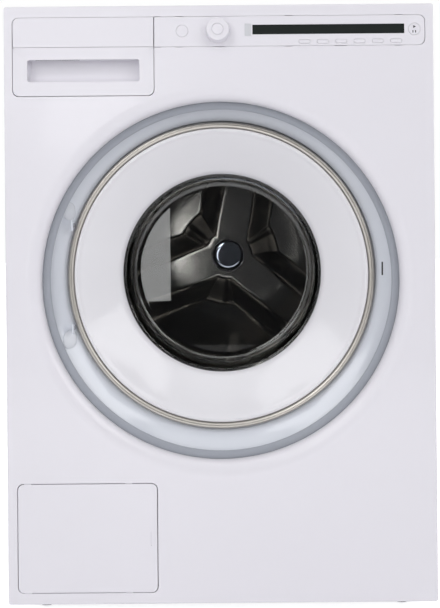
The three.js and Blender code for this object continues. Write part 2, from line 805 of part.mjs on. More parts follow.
// The motor under the tub, on a bracket that reaches up to it
const motorX = 40;
const motorR = 52;
const motorGap = 10.6;
const motorZ = tubZ - tubR - motorR - motorGap;
const motorLength = 160;
const motorForward = 16;
const motorBack = hubBack - motorForward;
const motorFront = motorBack - motorLength;
const motorShaftR = 7;
const bracketHalf = 14;
const bracketReach = 35.4;
const bracketTop = tubZ - tubR + bracketReach;
const pulleyGap = 9;
const pulleyWide = 12;
const pulleyFront = hubBack + pulleyGap;
const pulleyBack = pulleyFront + pulleyWide;
const motorPulleyR = 10;
add('motor', cut(
  join(
    bar(motorX, motorZ, motorR, motorFront, motorBack),
    block(motorX - bracketHalf, motorX + bracketHalf, motorFront, motorFront + bracketHalf,
      motorZ, bracketTop),
  ),
  bar(0, tubZ, tubR + fitGap, tubJoint, tubBack + overrun, ringSides),
  bar(motorX, motorZ, motorShaftR + fitGap, motorBack - bracketHalf, motorBack + overrun),
), blackPlastic);
add('motor_pulley', join(
  bar(motorX, motorZ, motorShaftR, motorBack - bracketHalf + fitGap, pulleyBack),
  bar(motorX, motorZ, motorPulleyR, pulleyFront, pulleyBack),
), stainless);

// The drum pulley, with its ring of holes
const pulleyInset = 128;
const pulleyR = tubR - pulleyInset;
const pulleyWeb = 4;
const pulleyRimWall = 6;
const spokeHoleR = 26;
const pulleyHubR = 24;
const spokeRingR = (pulleyHubR + pulleyR) / 2;
const spokeHoles = 6;
function drumPulley() {
  const wheel = turned([
    [shaftR + fitGap, pulleyFront],
    [pulleyHubR, pulleyFront],
    [pulleyHubR, pulleyFront + pulleyWeb],
    [pulleyR - pulleyRimWall, pulleyFront + pulleyWeb],
    [pulleyR - pulleyRimWall, pulleyFront],
    [pulleyR, pulleyFront],
    [pulleyR, pulleyBack],
    [pulleyR - pulleyRimWall, pulleyBack],
    [pulleyR - pulleyRimWall, pulleyBack - pulleyWeb],
    [pulleyHubR, pulleyBack - pulleyWeb],
    [pulleyHubR, pulleyBack],
    [shaftR + fitGap, pulleyBack],
  ]);
  const holes = [];
  for (let i = 0; i < spokeHoles; i += 1) {
    const turn = (Math.PI * 2 * i) / spokeHoles;
    holes.push(bar(spokeRingR * Math.cos(turn), tubZ + spokeRingR * Math.sin(turn), spokeHoleR,
      pulleyFront - overrun, pulleyBack + overrun, smallSides));
  }
  return cut(wheel, ...holes);
}
add('drum_pulley', drumPulley(), galvanised);

// The belt round both pulleys
const beltWall = 3;
const beltGap = 0.7;
function beltOutline(grow) {
  const big = pulleyR + grow;
  const small = motorPulleyR + grow;
  const span = new THREE.Vector2(motorX, motorZ - tubZ);
  const lean = Math.acos((big - small) / span.length());
  const aim = Math.atan2(span.y, span.x);
  const shape = new THREE.Path();
  shape.absarc(0, tubZ, big, aim + lean, aim - lean + Math.PI * 2, false);
  shape.absarc(motorX, motorZ, small, aim - lean, aim + lean, false);
  return shape.getPoints(roundSides);
}
function driveBelt() {
  const shape = new THREE.Shape(beltOutline(beltGap + beltWall));
  shape.holes.push(new THREE.Path(beltOutline(beltGap)));
  const geometry = new THREE.ExtrudeGeometry(shape, {
    depth: pulleyBack - pulleyFront - beltWall,
    bevelEnabled: false,
  });
  return geometry.rotateX(Math.PI / 2).translate(0, frontY + pulleyBack - beltWall / 2, 0);
}
add('drive_belt', driveBelt(), blackRubber);

// The counterweight on top of the tub
const weightGap = 31.6;
const weightInset = 78;
const weightFront = 200;
const weightBackGap = 64;
const weightHang = 80.6;
const weightDrop = 72;
const weightLeft = housingRight + weightGap;
const weightRight = tubR - weightInset;
const weightBack = tubBack - weightBackGap;
const weightBottom = tubZ + tubR - weightHang;
const weightTop = bodyHeight - weightDrop;
add('counterweight', cut(
  block(weightLeft, weightRight, weightFront, weightBack, weightBottom, weightTop),
  bar(0, tubZ, tubR + fitGap, tubJoint, tubBack, ringSides),
), stone);

// The drum: shell, pressed back with its three-armed star, lifters, hub cap, and the spider with its shaft
const drumFront = 122;
const drumMouthInset = 77;
const drumMouthR = drumR - drumMouthInset;
const drumSkin = 1.5;
const drumCorner = 7;
const drumBackRoom = 28;
const drumBackFace = tubBack - drumBackRoom;
add('drum_shell', turned([
  [drumMouthR, drumFront],
  [drumR - drumCorner, drumFront],
  [drumR, drumFront + drumCorner],
  [drumR, drumBackFace + drumSkin],
  [drumR - drumSkin, drumBackFace + drumSkin],
  [drumR - drumSkin, drumFront + drumCorner + drumSkin / 2],
  [drumR - drumCorner - drumSkin / 2, drumFront + drumSkin],
  [drumMouthR + drumSkin, drumFront + drumSkin],
  [drumMouthR + drumSkin, drumFront + drumCorner],
  [drumMouthR, drumFront + drumCorner],
]), stainless);

const starAngle = 80;
const starArms = 3;
const starRise = 28;
const starTopHalf = 30;
const starBaseHalf = 62;
const starHubTopR = 44;
const starHubBaseR = 88;
function starTurn(i, offset) {
  return THREE.MathUtils.degToRad(starAngle + offset + (360 / starArms) * i);
}
const starBelow = drumSkin * 2;
// The star's raised form: a hub and three arms with sloping sides, drawn in by the inset.
function starBody(inset, reach) {
  const parts = [turned([
    [0, drumBackFace - starRise + inset],
    [starHubTopR - inset, drumBackFace - starRise + inset],
    [starHubBaseR - inset, drumBackFace + starBelow],
    [0, drumBackFace + starBelow],
  ], ringSides)];
  const section = new THREE.Shape([
    new THREE.Vector2(starBaseHalf - inset, starBelow),
    new THREE.Vector2(starTopHalf - inset, inset - starRise),
    new THREE.Vector2(-starTopHalf + inset, inset - starRise),
    new THREE.Vector2(-starBaseHalf + inset, starBelow),
  ]);
  for (let i = 0; i < starArms; i += 1) {
    const turn = starTurn(i, 0);
    const along = new THREE.Vector3(Math.cos(turn), 0, Math.sin(turn));
    const rearward = new THREE.Vector3(0, 1, 0);
    const across = new THREE.Vector3().crossVectors(rearward, along);
    const arm = new THREE.ExtrudeGeometry(section, { depth: reach, bevelEnabled: false });
    arm.applyMatrix4(new THREE.Matrix4().makeBasis(across, rearward, along));
    parts.push(arm.translate(0, frontY + drumBackFace, tubZ));
  }
  return join(...parts);
}
function drumBack() {
  const edge = drumR - drumSkin - fitGap;
  const disc = bar(0, tubZ, edge, drumBackFace, drumBackFace + drumSkin, ringSides);
  const bound = bar(0, tubZ, edge, drumBackFace - starRise - overrun, drumBackFace + drumSkin, ringSides);
  const outside = keepInside(starBody(0, drumR), bound);
  return cut(join(disc, outside), starBody(drumSkin, edge - drumSkin * 2));
}
add('drum_back', drumBack(), stainless);

const lifterHeight = 52;
const lifterBaseHalf = 36;
const lifterTopHalf = 10;
const lifterFrontGap = 28;
const lifterBackGap = 30;
const lifterFront = drumFront + lifterFrontGap;
const lifterBack = drumBackFace - lifterBackGap;
const lifterOffset = 72;
const lifterSeat = drumR - drumSkin - fitGap;
function lifter(i) {
  const seat = new THREE.Shape([
    new THREE.Vector2(-lifterBaseHalf, lifterSeat + overrun),
    new THREE.Vector2(-lifterBaseHalf, lifterSeat - lifterTopHalf),
    new THREE.Vector2(-lifterTopHalf, lifterSeat - lifterHeight),
    new THREE.Vector2(lifterTopHalf, lifterSeat - lifterHeight),
    new THREE.Vector2(lifterBaseHalf, lifterSeat - lifterTopHalf),
    new THREE.Vector2(lifterBaseHalf, lifterSeat + overrun),
  ]);
  const geometry = new THREE.ExtrudeGeometry(seat, { depth: lifterBack - lifterFront, bevelEnabled: false });
  geometry.rotateX(Math.PI / 2).rotateY(Math.PI / 2 - starTurn(i, lifterOffset));
  geometry.translate(0, frontY + lifterBack, tubZ);
  const bound = bar(0, tubZ, lifterSeat, lifterFront - overrun, lifterBack + overrun, ringSides);
  return keepInside(geometry, bound);
}
for (let i = 0; i < starArms; i += 1) {
  add(`drum_lifter_${i + 1}`, lifter(i), stainless);
}

const capR = 30;
const capRise = 4;
const hubCapFace = drumBackFace - starRise - fitGap;
add('hub_cap', turned([
  [0, hubCapFace - capRise],
  [capR - capRise, hubCapFace - capRise],
  [capR, hubCapFace],
  [0, hubCapFace],
], roundSides), polished);

const spiderFace = drumBackFace + drumSkin + fitGap;
const spiderThick = 10;
const spiderHubR = 40;
const spiderArmHalf = 16;
const spiderReach = drumR - drumSkin * 2 - fitGap;
const shaftBeyond = 5;
const shaftBack = pulleyBack + shaftBeyond;
function drumSpider() {
  const arms = [];
  for (let i = 0; i < starArms; i += 1) {
    const arm = block(0, spiderReach, spiderFace, spiderFace + spiderThick, -spiderArmHalf, spiderArmHalf);
    arms.push(arm.rotateY(-starTurn(i, 0)).translate(0, 0, tubZ));
  }
  return join(
    bar(0, tubZ, spiderHubR, spiderFace, spiderFace + spiderThick + sheet),
    bar(0, tubZ, shaftR, spiderFace, shaftBack),
    ...arms,
  );
}
add('drum_spider', drumSpider(), galvanised);

// The door: rim, ring, glass, inner frame, seal, hinge and latch hook
const trimWide = 7;
const trimInnerR = doorR - trimWide;
const trimFace = 34;
const trimNose = 3.5;
const trimBack = 56;
add('door_trim', turned([
  [trimInnerR, trimFace + trimNose],
  [trimInnerR + sheet, trimFace + sheet],
  [(trimInnerR + doorR) / 2, trimFace],
  [doorR - sheet, trimFace + sheet],
  [doorR, trimFace + trimNose],
  [doorR, trimBack],
  [trimInnerR, trimBack],
]), polished);

const ringOuterR = trimInnerR - fitGap;
const windowDepth = 72;
const ringWall = 3;
// The ring's front: each point's share of the way in to the window, and of the way back to it
const ringFaceDepth = 36.5;
const ringShares = [
  [0, 0.04], [0.04, 0], [0.085, 0.01], [0.145, 0.09], [0.365, 0.31], [0.66, 0.64], [0.925, 0.92], [1, 1],
];
const ringFront = ringShares.map(([inward, back]) => [
  ringOuterR - (ringOuterR - windowR) * inward,
  ringFaceDepth + (windowDepth - ringFaceDepth) * back,
]);
const ringLip = 4;
const ringBackFace = windowDepth + ringLip;
const ringRear = ringFront.slice(3, 7).reverse().map(([r, depth]) => [r + ringWall / 2, depth + ringWall]);
add('door_ring', turned([
  ...ringFront,
  [windowR, ringBackFace],
  [windowR + ringWall, ringBackFace],
  ...ringRear,
  [ringOuterR - ringWall, ringFront[3][1] + ringWall],
  [ringOuterR - ringWall, trimBack],
  [ringOuterR, trimBack],
]), glossWhite);

const glassFace = ringBackFace + fitGap;
const glassWall = 4.5;
const glassFlange = 11;
const glassTaper = 15;
const glassNoseLength = 46;
const glassBend = 6;
const glassBendDepth = 8;
const glassFlangeR = windowR + glassFlange;
const glassNoseR = windowR - glassTaper;
const glassNose = glassFace + glassNoseLength;
add('door_glass', turned([
  [0, glassNose],
  [glassNoseR, glassNose - sheet],
  [glassNoseR + glassBend, glassNose - glassBendDepth],
  [windowR - glassWall, glassFace],
  [glassFlangeR, glassFace],
  [glassFlangeR, glassFace + glassWall],
  [windowR - sheet, glassFace + glassWall],
  [glassNoseR + glassBend + glassWall, glassNose - glassBendDepth + glassWall / 2],
  [glassNoseR + sheet, glassNose + glassWall - sheet],
  [0, glassNose + glassWall],
]), clearGlass);

const frameEdge = 9;
const frameShoulder = 17;
const frameLip = 5;
const frameOuterR = doorR - frameEdge;
const frameFace = trimBack + fitGap;
const frameWall = 3;
const frameShoulderR = doorR - frameShoulder;
const frameInnerR = windowR + frameLip;
const frameSeat = glassFace + glassWall + fitGap;
add('door_inner_frame', turned([
  [frameOuterR, frameFace],
  [frameOuterR, frameFace + frameWall],
  [frameShoulderR, frameFace + frameWall],
  [glassFlangeR + frameWall, frameSeat + frameWall],
  [frameInnerR, frameSeat + frameWall],
  [frameInnerR, frameSeat],
  [glassFlangeR, frameSeat],
  [frameShoulderR - frameWall, frameFace],
]), stainless);

const sealInset = 20;
const sealWide = 9;
const sealOuterR = doorR - sealInset;
const sealInnerR = sealOuterR - sealWide;
const sealFace = tubFrontFace - fitGap;
const frameSlope = (frameSeat - frameFace) / (frameShoulderR - glassFlangeR - frameWall);
function frameBackAt(r) {
  return frameFace + frameWall + (frameShoulderR - r) * frameSlope;
}
add('door_seal', turned([
  [sealOuterR, frameBackAt(sealOuterR) + fitGap],
  [sealOuterR, sealFace],
  [sealInnerR, sealFace],
  [sealInnerR, frameBackAt(sealInnerR) + fitGap],
]), blackRubber);

// The hinge: an upright spine behind the rim's left edge with a barrel at each end
const barrelR = 3.5;
const leafInset = 3;
const leafX = hingeX + leafInset;
const leafWall = 2.5;
const leafFace = frameFace + frameWall + fitGap;
const spineWide = 7.5;
const hingeArms = [block(leafX, leafX + spineWide, leafFace, leafFace + leafWall,
  tubZ - hingeZ + hingeHalf, tubZ + hingeZ - hingeHalf)];
for (const side of hingeSides) {
  const z = tubZ + side * hingeZ;
  hingeArms.push(
    post(hingeX, hingeDepth, barrelR, z - hingeHalf, z + hingeHalf),
    block(leafX - leafWall, leafX, hingeDepth, leafFace + leafWall, z - hingeHalf, z + hingeHalf),
    block(leafX - leafWall, leafX + spineWide, leafFace, leafFace + leafWall, z - hingeHalf, z + hingeHalf),
  );
}
add('door_hinge', join(...hingeArms), galvanised);

// The latch hook behind the rim's right edge, which reaches into the door lock
const hookInset = 12;
const hookX = doorR - hookInset;
const hookHalf = 3;
const hookWide = 4;
const hookFace = frameFace + frameWall + fitGap;
const hookLength = 34.4;
const hookTip = hookFace + hookLength;
const hookToe = 7;
add('latch_hook', join(
  block(hookX - hookHalf, hookX + hookHalf, hookFace, hookTip, tubZ - hookWide, tubZ + hookWide),
  block(hookX - hookHalf, hookX + hookHalf, hookTip - hookToe, hookTip,
    tubZ - hookWide, tubZ + hookWide + hookToe / 2),
), stainless);

export default machine;
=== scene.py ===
"""A white front-loading washing machine with a recessed round glass door."""

import math

import bmesh
import bpy
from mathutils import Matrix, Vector


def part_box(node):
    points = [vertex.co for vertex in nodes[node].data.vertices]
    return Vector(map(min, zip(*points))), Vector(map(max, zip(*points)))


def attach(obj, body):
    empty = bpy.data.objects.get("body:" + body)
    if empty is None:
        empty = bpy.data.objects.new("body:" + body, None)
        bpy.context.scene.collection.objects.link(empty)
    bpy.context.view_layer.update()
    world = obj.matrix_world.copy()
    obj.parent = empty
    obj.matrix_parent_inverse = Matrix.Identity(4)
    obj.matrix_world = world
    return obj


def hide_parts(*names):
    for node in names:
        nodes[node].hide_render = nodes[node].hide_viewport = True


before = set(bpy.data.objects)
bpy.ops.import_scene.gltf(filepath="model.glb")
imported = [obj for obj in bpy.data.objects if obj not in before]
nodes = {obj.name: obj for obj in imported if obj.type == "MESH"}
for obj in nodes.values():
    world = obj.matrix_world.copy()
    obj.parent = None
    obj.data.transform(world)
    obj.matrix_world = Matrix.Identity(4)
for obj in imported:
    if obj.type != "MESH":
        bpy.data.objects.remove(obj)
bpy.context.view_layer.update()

# The camera stands a little above the middle of the machine and looks straight at it.
# Its lens is shifted down, so that the machine's upright edges stay upright.
panel_low, panel_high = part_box("front_panel")
front_y = panel_low.y
camera_distance = 1.25
camera_x = 0.042
camera_z = 0.594
picture_height = 0.8408
picture_x = 0.0003
picture_z = 0.436
picture_roll = math.radians(0.5)
camera_data = bpy.data.cameras.new("camera")
camera_data.lens = camera_distance * camera_data.sensor_width / picture_height
camera_data.shift_x = (picture_x - camera_x) / picture_height
camera_data.shift_y = (picture_z - camera_z) / picture_height
camera = bpy.data.objects.new("camera", camera_data)
camera.location = (camera_x, front_y - camera_distance, camera_z)
camera.rotation_euler = (math.pi / 2, picture_roll, 0)
bpy.context.scene.collection.objects.link(camera)
bpy.context.scene.camera = camera
bpy.context.scene.view_settings.view_transform = "Standard"


# The studio is a pale floor in a white room, with softboxes at both sides, above and behind.
# A dark cloth behind the camera keeps the glass and the drum dark, and two small lights put
# a grey panel and a bright crescent into them. A grey sheet on the floor under the machine is painted shade.
def srgb(red, green, blue):
    """A colour of 0 to 255, as it looks, in the shader's own scale."""
    return tuple((part / 255 / 12.92) if part <= 10 else ((part / 255 + 0.055) / 1.055) ** 2.4
                 for part in (red, green, blue)) + (1.0,)


def softbox(name, place, aim, width, height, power):
    light = bpy.data.lights.new(name, "AREA")
    light.shape = "RECTANGLE"
    light.size = width
    light.size_y = height
    light.energy = power
    lamp = bpy.data.objects.new(name, light)
    lamp.location = place
    lamp.rotation_euler = (Vector(aim) - Vector(place)).to_track_quat("-Z", "Y").to_euler()
    lamp.visible_camera = False
    bpy.context.scene.collection.objects.link(lamp)


softbox("softbox_left", (-1.7, -2.4, 2.1), (0, -0.2, 0.45), 1.7, 1.7, 27)
softbox("softbox_right", (2.0, -2.4, 1.9), (0, -0.2, 0.45), 1.7, 1.9, 32)
softbox("softbox_top", (0, -1.6, 2.6), (0, 0, 0.5), 1.8, 1.0, 7)
softbox("softbox_floor", (0, -0.95, 0.04), (0, -0.4, 0.6), 1.1, 0.45, 0.5)
softbox("strip_light", (-0.33, -1.85, 0.40), (-0.1, -0.2, 0.45), 0.20, 0.36, 0.85)
softbox("spark_light", (-0.44, -1.85, 0.90), (0, 0.1, 0.45), 0.30, 0.36, 2.0)
softbox("softbox_back_left", (-2.0, 2.0, 1.4), (0, 0, 0.45), 1.4, 1.6, 22)
softbox("softbox_back_right", (2.0, 2.0, 1.4), (0, 0, 0.45), 1.4, 1.6, 22)

world = bpy.data.worlds.new("studio")
world.use_nodes = True
bpy.context.scene.world = world
sky = world.node_tree
room = sky.nodes["Background"]
room.inputs["Color"].default_value = (1, 1, 1, 1)
room_light = 0.23


def seen_strength(tree, unseen, seen):
    """A strength that differs for the rays that carry the picture: direct, mirrored and through glass."""
    rays = tree.nodes.new("ShaderNodeLightPath")
    total = tree.nodes.new("ShaderNodeMath")
    total.operation = "ADD"
    tree.links.new(rays.outputs["Is Camera Ray"], total.inputs[0])
    tree.links.new(rays.outputs["Is Glossy Ray"], total.inputs[1])
    more = tree.nodes.new("ShaderNodeMath")
    more.operation = "ADD"
    tree.links.new(total.outputs["Value"], more.inputs[0])
    tree.links.new(rays.outputs["Is Transmission Ray"], more.inputs[1])
    strength = tree.nodes.new("ShaderNodeMapRange")
    strength.inputs["To Min"].default_value = unseen
    strength.inputs["To Max"].default_value = seen
    tree.links.new(more.outputs["Value"], strength.inputs["Value"])
    return strength.outputs["Result"]


sky.links.new(seen_strength(sky, room_light, 1.0), room.inputs["Strength"])


def stage_sheet(name, place, turn, width, height, colour):
    """A flat matt sheet of the studio, such as its floor."""
    mesh = bpy.data.meshes.new(name)
    bm = bmesh.new()
    bmesh.ops.create_grid(bm, x_segments=1, y_segments=1, size=0.5)
    bmesh.ops.scale(bm, vec=(width, height, 1), verts=bm.verts)
    bm.to_mesh(mesh)
    bm.free()
    sheet = bpy.data.objects.new(name, mesh)
    sheet.location = place
    sheet.rotation_euler = (turn, 0, 0)
    bpy.context.scene.collection.objects.link(sheet)
    paint = bpy.data.materials.new(name)
    paint.use_nodes = True
    shader = paint.node_tree.nodes["Principled BSDF"]
    shader.inputs["Base Color"].default_value = colour
    shader.inputs["Roughness"].default_value = 0.6
    mesh.materials.append(paint)
    return sheet


floor = stage_sheet("floor", (0, 0, 0), 0, 12, 12, srgb(240, 240, 242))
floor_tree = floor.data.materials[0].node_tree
floor_shader = floor_tree.nodes["Principled BSDF"]
floor_shader.inputs["Emission Color"].default_value = (1, 1, 1, 1)
floor_tree.links.new(seen_strength(floor_tree, 0.0, 0.8), floor_shader.inputs["Emission Strength"])
# Painted shade: a grey sheet laid on the floor under the machine stands in for the machine's shadow there.
stage_sheet("painted_floor_shade", (0, 0.03, 0.0005), 0, 0.54, 0.50, srgb(96, 96, 98))
cloth = stage_sheet("dark_cloth", (0.1, -1.95, 0.85), math.pi / 2, 2.3, 1.7, srgb(30, 31, 34))
cloth.visible_camera = False
cloth.visible_diffuse = False
cloth.visible_shadow = False


# A surface never has one flat colour: this group varies its tint and gloss softly
# and gives it a fine skin, all over the piece's own solid space.
def surface_group():
    group = bpy.data.node_groups.new("surface_detail", "ShaderNodeTree")
    for name, kind in (("Light", "NodeSocketColor"), ("Dark", "NodeSocketColor"), ("Patch", "NodeSocketFloat"),
                       ("Gloss Low", "NodeSocketFloat"), ("Gloss High", "NodeSocketFloat"),
                       ("Skin", "NodeSocketFloat")):
        group.interface.new_socket(name, in_out="INPUT", socket_type=kind)
    for name, kind in (("Color", "NodeSocketColor"), ("Roughness", "NodeSocketFloat"),
                       ("Height", "NodeSocketFloat")):
        group.interface.new_socket(name, in_out="OUTPUT", socket_type=kind)
    made = group.nodes
    inside = made.new("NodeGroupInput")
    outside = made.new("NodeGroupOutput")
    place = made.new("ShaderNodeTexCoord")
    patch = made.new("ShaderNodeTexNoise")
    patch.inputs["Detail"].default_value = 4
    skin = made.new("ShaderNodeTexNoise")
    skin.inputs["Detail"].default_value = 3
    tint = made.new("ShaderNodeMix")
    tint.data_type = "RGBA"
    gloss = made.new("ShaderNodeMapRange")
    link = group.links.new
    link(place.outputs["Object"], patch.inputs["Vector"])
    link(place.outputs["Object"], skin.inputs["Vector"])
    link(inside.outputs["Patch"], patch.inputs["Scale"])
    link(inside.outputs["Skin"], skin.inputs["Scale"])
    link(patch.outputs["Fac"], tint.inputs["Factor"])
    link(inside.outputs["Light"], tint.inputs["A"])
    link(inside.outputs["Dark"], tint.inputs["B"])
    link(patch.outputs["Fac"], gloss.inputs["Value"])
    link(inside.outputs["Gloss Low"], gloss.inputs["To Min"])
    link(inside.outputs["Gloss High"], gloss.inputs["To Max"])
    link(tint.outputs["Result"], outside.inputs["Color"])
    link(gloss.outputs["Result"], outside.inputs["Roughness"])
    link(skin.outputs["Fac"], outside.inputs["Height"])
    return group


surface_detail = surface_group()


def finish(name, light, dark, gloss, patch=6, skin=900, depth=0.00002, metallic=0.0, coat=0.0, shine=0.5):
    """A material whose colour, gloss and skin come from the surface group."""
    material = bpy.data.materials.new(name)
    material.use_nodes = True
    tree = material.node_tree
    shader = tree.nodes["Principled BSDF"]
    shader.inputs["Metallic"].default_value = metallic
    shader.inputs["Coat Weight"].default_value = coat
    shader.inputs["Specular IOR Level"].default_value = shine
    detail = tree.nodes.new("ShaderNodeGroup")
    detail.node_tree = surface_detail
    detail.inputs["Light"].default_value = light
    detail.inputs["Dark"].default_value = dark
    detail.inputs["Patch"].default_value = patch
    detail.inputs["Skin"].default_value = skin
    detail.inputs["Gloss Low"].default_value = gloss[0]
    detail.inputs["Gloss High"].default_value = gloss[1]
    bump = tree.nodes.new("ShaderNodeBump")
    bump.inputs["Distance"].default_value = depth
    tree.links.new(detail.outputs["Color"], shader.inputs["Base Color"])
    tree.links.new(detail.outputs["Roughness"], shader.inputs["Roughness"])
    tree.links.new(detail.outputs["Height"], bump.inputs["Height"])
    tree.links.new(bump.outputs["Normal"], shader.inputs["Normal"])
    return material


# The front panel is one pressed sheet. Its round opening has a soft rolled edge,
# and the drawer, the control strip and the service flap sit in its other holes.
enamel = finish("white_enamel", srgb(232, 230, 237), srgb(228, 226, 233), (0.30, 0.36), patch=3, skin=450,
                depth=0.00003, coat=0.15)
opening_z = 0.4674
opening_r = 0.250
rim_roll = 0.022
rim_depth = 0.014
body_corner = 0.0035
corner_r = 0.0087


def arc(x, z, radius, start, steps=6):
    """Points of a quarter turn about a centre. The start is 0 at the right and 1 at the top."""
    turns = [math.pi / 2 * (start + step / steps) for step in range(steps + 1)]
    return [(x + radius * math.cos(turn), z + radius * math.sin(turn)) for turn in turns]


def rounded(x0, x1, z0, z1, radius, steps=6):
    """A rectangle's outline. Four radii go round from the bottom left to the top left."""
    corners = radius if isinstance(radius, tuple) else (radius,) * 4
    low_left, low_right, high_right, high_left = corners
    return (arc(x0 + low_left, z0 + low_left, low_left, 2, steps)
            + arc(x1 - low_right, z0 + low_right, low_right, 3, steps)
            + arc(x1 - high_right, z1 - high_right, high_right, 0, steps)
            + arc(x0 + high_left, z1 - high_left, high_left, 1, steps))


def round_hole(x, z, radius, steps=48):
    return [(x + radius * math.cos(math.tau * i / steps), z + radius * math.sin(math.tau * i / steps))
            for i in range(steps)]


def ring(bm, points, depth):
    """A closed loop of edges through points of x and z, at a depth behind the front."""
    verts = [bm.verts.new((x, front_y + depth, z)) for x, z in points]
    return [bm.edges.new((verts[i - 1], verts[i])) for i in range(len(verts))]


def fill(bm, loops, side=-1):
    bmesh.ops.triangle_fill(bm, use_beauty=True, use_dissolve=False, edges=sum(loops, []), normal=(0, side, 0))


def push_back(bm, loop, depth, grow=0.0, centre=None):
    """Draws a loop of edges back by a depth, and returns its new edges."""
    made = bmesh.ops.extrude_edge_only(bm, edges=loop)["geom"]
    verts = [item for item in made if isinstance(item, bmesh.types.BMVert)]
    bmesh.ops.translate(bm, vec=(0, depth, 0), verts=verts)
    if grow:
        for vert in verts:
            arm = Vector((vert.co.x - centre.x, 0, vert.co.z - centre.z))
            vert.co += arm.normalized() * grow
    return [item for item in made if isinstance(item, bmesh.types.BMEdge)
            and all(end in verts for end in item.verts)]


def round_over(bm, loop, radius, segments=3):
    bmesh.ops.bevel(bm, geom=loop, offset=radius, segments=segments, profile=0.5, affect="EDGES", material=-1)


def add_sheet(bm, outline, holes, depth0, depth1, soft, hole_soft=0.0003):
    """A closed flat piece with holes. The front edge of its outline and holes is softened."""
    front = [ring(bm, points, depth0) for points in [outline, *holes]]
    fill(bm, front)
    back = [push_back(bm, loop, depth1 - depth0) for loop in front]
    fill(bm, back, 1)
    round_over(bm, front[0], soft)
    for loop in front[1:]:
        round_over(bm, loop, hole_soft, 2)


def make_piece(name, bm, body, material, hides=(), smooth=math.radians(35), flat=False):
    """Turns a bmesh into a finished object that rides on a body of the machine."""
    bmesh.ops.remove_doubles(bm, verts=bm.verts, dist=0.000001)
    bmesh.ops.recalc_face_normals(bm, faces=bm.faces)
    mesh = bpy.data.meshes.new(name)
    for edge in bm.edges:
        edge.smooth = len(edge.link_faces) == 2 and edge.calc_face_angle(0) < smooth
    for face in bm.faces:
        face.smooth = True
    bm.to_mesh(mesh)
    bm.free()
    piece = bpy.data.objects.new(name, mesh)
    bpy.context.scene.collection.objects.link(piece)
    mesh.materials.append(material)
    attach(piece, body)
    if hides:
        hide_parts(*hides)
    if flat:
        weight = piece.modifiers.new("flat_faces", "WEIGHTED_NORMAL")
        weight.keep_sharp = True
        weight.weight = 100
    return piece


pan_depth = 0.019
hole_depth = 0.012
rim_lip = 0.002
rim_steps = 12
outline_soft = 0.002
upper_soft = 0.0002
flap_soft = 0.0009
strip = (-0.0889, 0.2852, 0.7927, 0.8341)
drawer = (-0.2851, -0.0899, 0.7258, 0.8341)
flap = (-0.2829, -0.0905, 0.0386, 0.1884)
strip_gap = 0.0003
strip_end_gap = 0.0007
drawer_gap = 0.0008
flap_gap = 0.0010
clip_notch = 0.0005
low_clips = [(-0.0875, -0.0800), (-0.0602, -0.0490), (-0.0085, 0.0080), (0.0917, 0.1027), (0.1605, 0.1775),
             (0.2435, 0.2545)]
high_clips = [(0.2435, 0.2545), (0.0917, 0.1027), (-0.0602, -0.0490), (-0.0880, -0.0800)]


def upper_hole():
    """The outline of the hole round the drawer and the strip, with small notches for the strip's clips."""
    left, right, low = drawer[0] - drawer_gap, drawer[1] + drawer_gap, drawer[2] - drawer_gap
    strip_low, strip_high, far = strip[2] - strip_gap, strip[3] + strip_gap, strip[1] + strip_end_gap
    points = arc(left + corner_r, low + corner_r, corner_r, 2)
    points += arc(right - corner_r, low + corner_r, corner_r, 3)
    points.append((right, strip_low))
    for start, end in low_clips:
        points += [(start, strip_low), (start, strip_low - clip_notch), (end, strip_low - clip_notch),
                   (end, strip_low)]
    points += arc(far - corner_r, strip_low + corner_r, corner_r, 3)
    points += arc(far - corner_r, strip_high - corner_r, corner_r, 0)
    for start, end in high_clips:
        points += [(end, strip_high), (end, strip_high + clip_notch), (start, strip_high + clip_notch),
                   (start, strip_high)]
    points += arc(left + corner_r, strip_high - corner_r, corner_r, 1)
    return points


bm = bmesh.new()
outline = ring(bm, rounded(panel_low.x, panel_high.x, panel_low.z, panel_high.z, body_corner), 0)
opening = ring(bm, round_hole(0, opening_z, opening_r + rim_roll, 180), 0)
top_hole = ring(bm, upper_hole(), 0)
flap_hole = ring(bm, rounded(flap[0] - flap_gap, flap[1] + flap_gap, flap[2] - flap_gap, flap[3] + flap_gap,
                             corner_r), 0)
fill(bm, [outline, opening, top_hole, flap_hole])
push_back(bm, outline, pan_depth)
for hole in (top_hole, flap_hole):
    push_back(bm, hole, hole_depth)
rim = opening
centre = Vector((0, 0, opening_z))
for step in range(rim_steps):
    now = math.pi / 2 * step / rim_steps
    then = math.pi / 2 * (step + 1) / rim_steps
    rim = push_back(bm, rim, rim_depth * (math.cos(now) - math.cos(then)),
                    -rim_roll * (math.sin(then) - math.sin(now)), centre)
push_back(bm, rim, rim_lip)
round_over(bm, outline, outline_soft, 4)
round_over(bm, top_hole, upper_soft, 1)
round_over(bm, flap_hole, flap_soft, 3)
make_piece("front_panel_skin", bm, "cabinet", enamel, ["front_panel"], flat=True)


# The side panels and the top cover are enamelled sheet with softly bent edges.
# The side sheets stand behind the front panel, with a thin joint all round.
def add_box(bm, low, high, soft, segments=3):
    made = bmesh.ops.create_cube(bm, size=1.0)["verts"]
    bmesh.ops.scale(bm, vec=Vector(high) - Vector(low), verts=made)
    bmesh.ops.translate(bm, vec=(Vector(high) + Vector(low)) / 2, verts=made)
    edges = list({edge for vert in made for edge in vert.link_edges})
    bmesh.ops.bevel(bm, geom=edges, offset=soft, segments=segments, profile=0.5, affect="EDGES", material=-1)


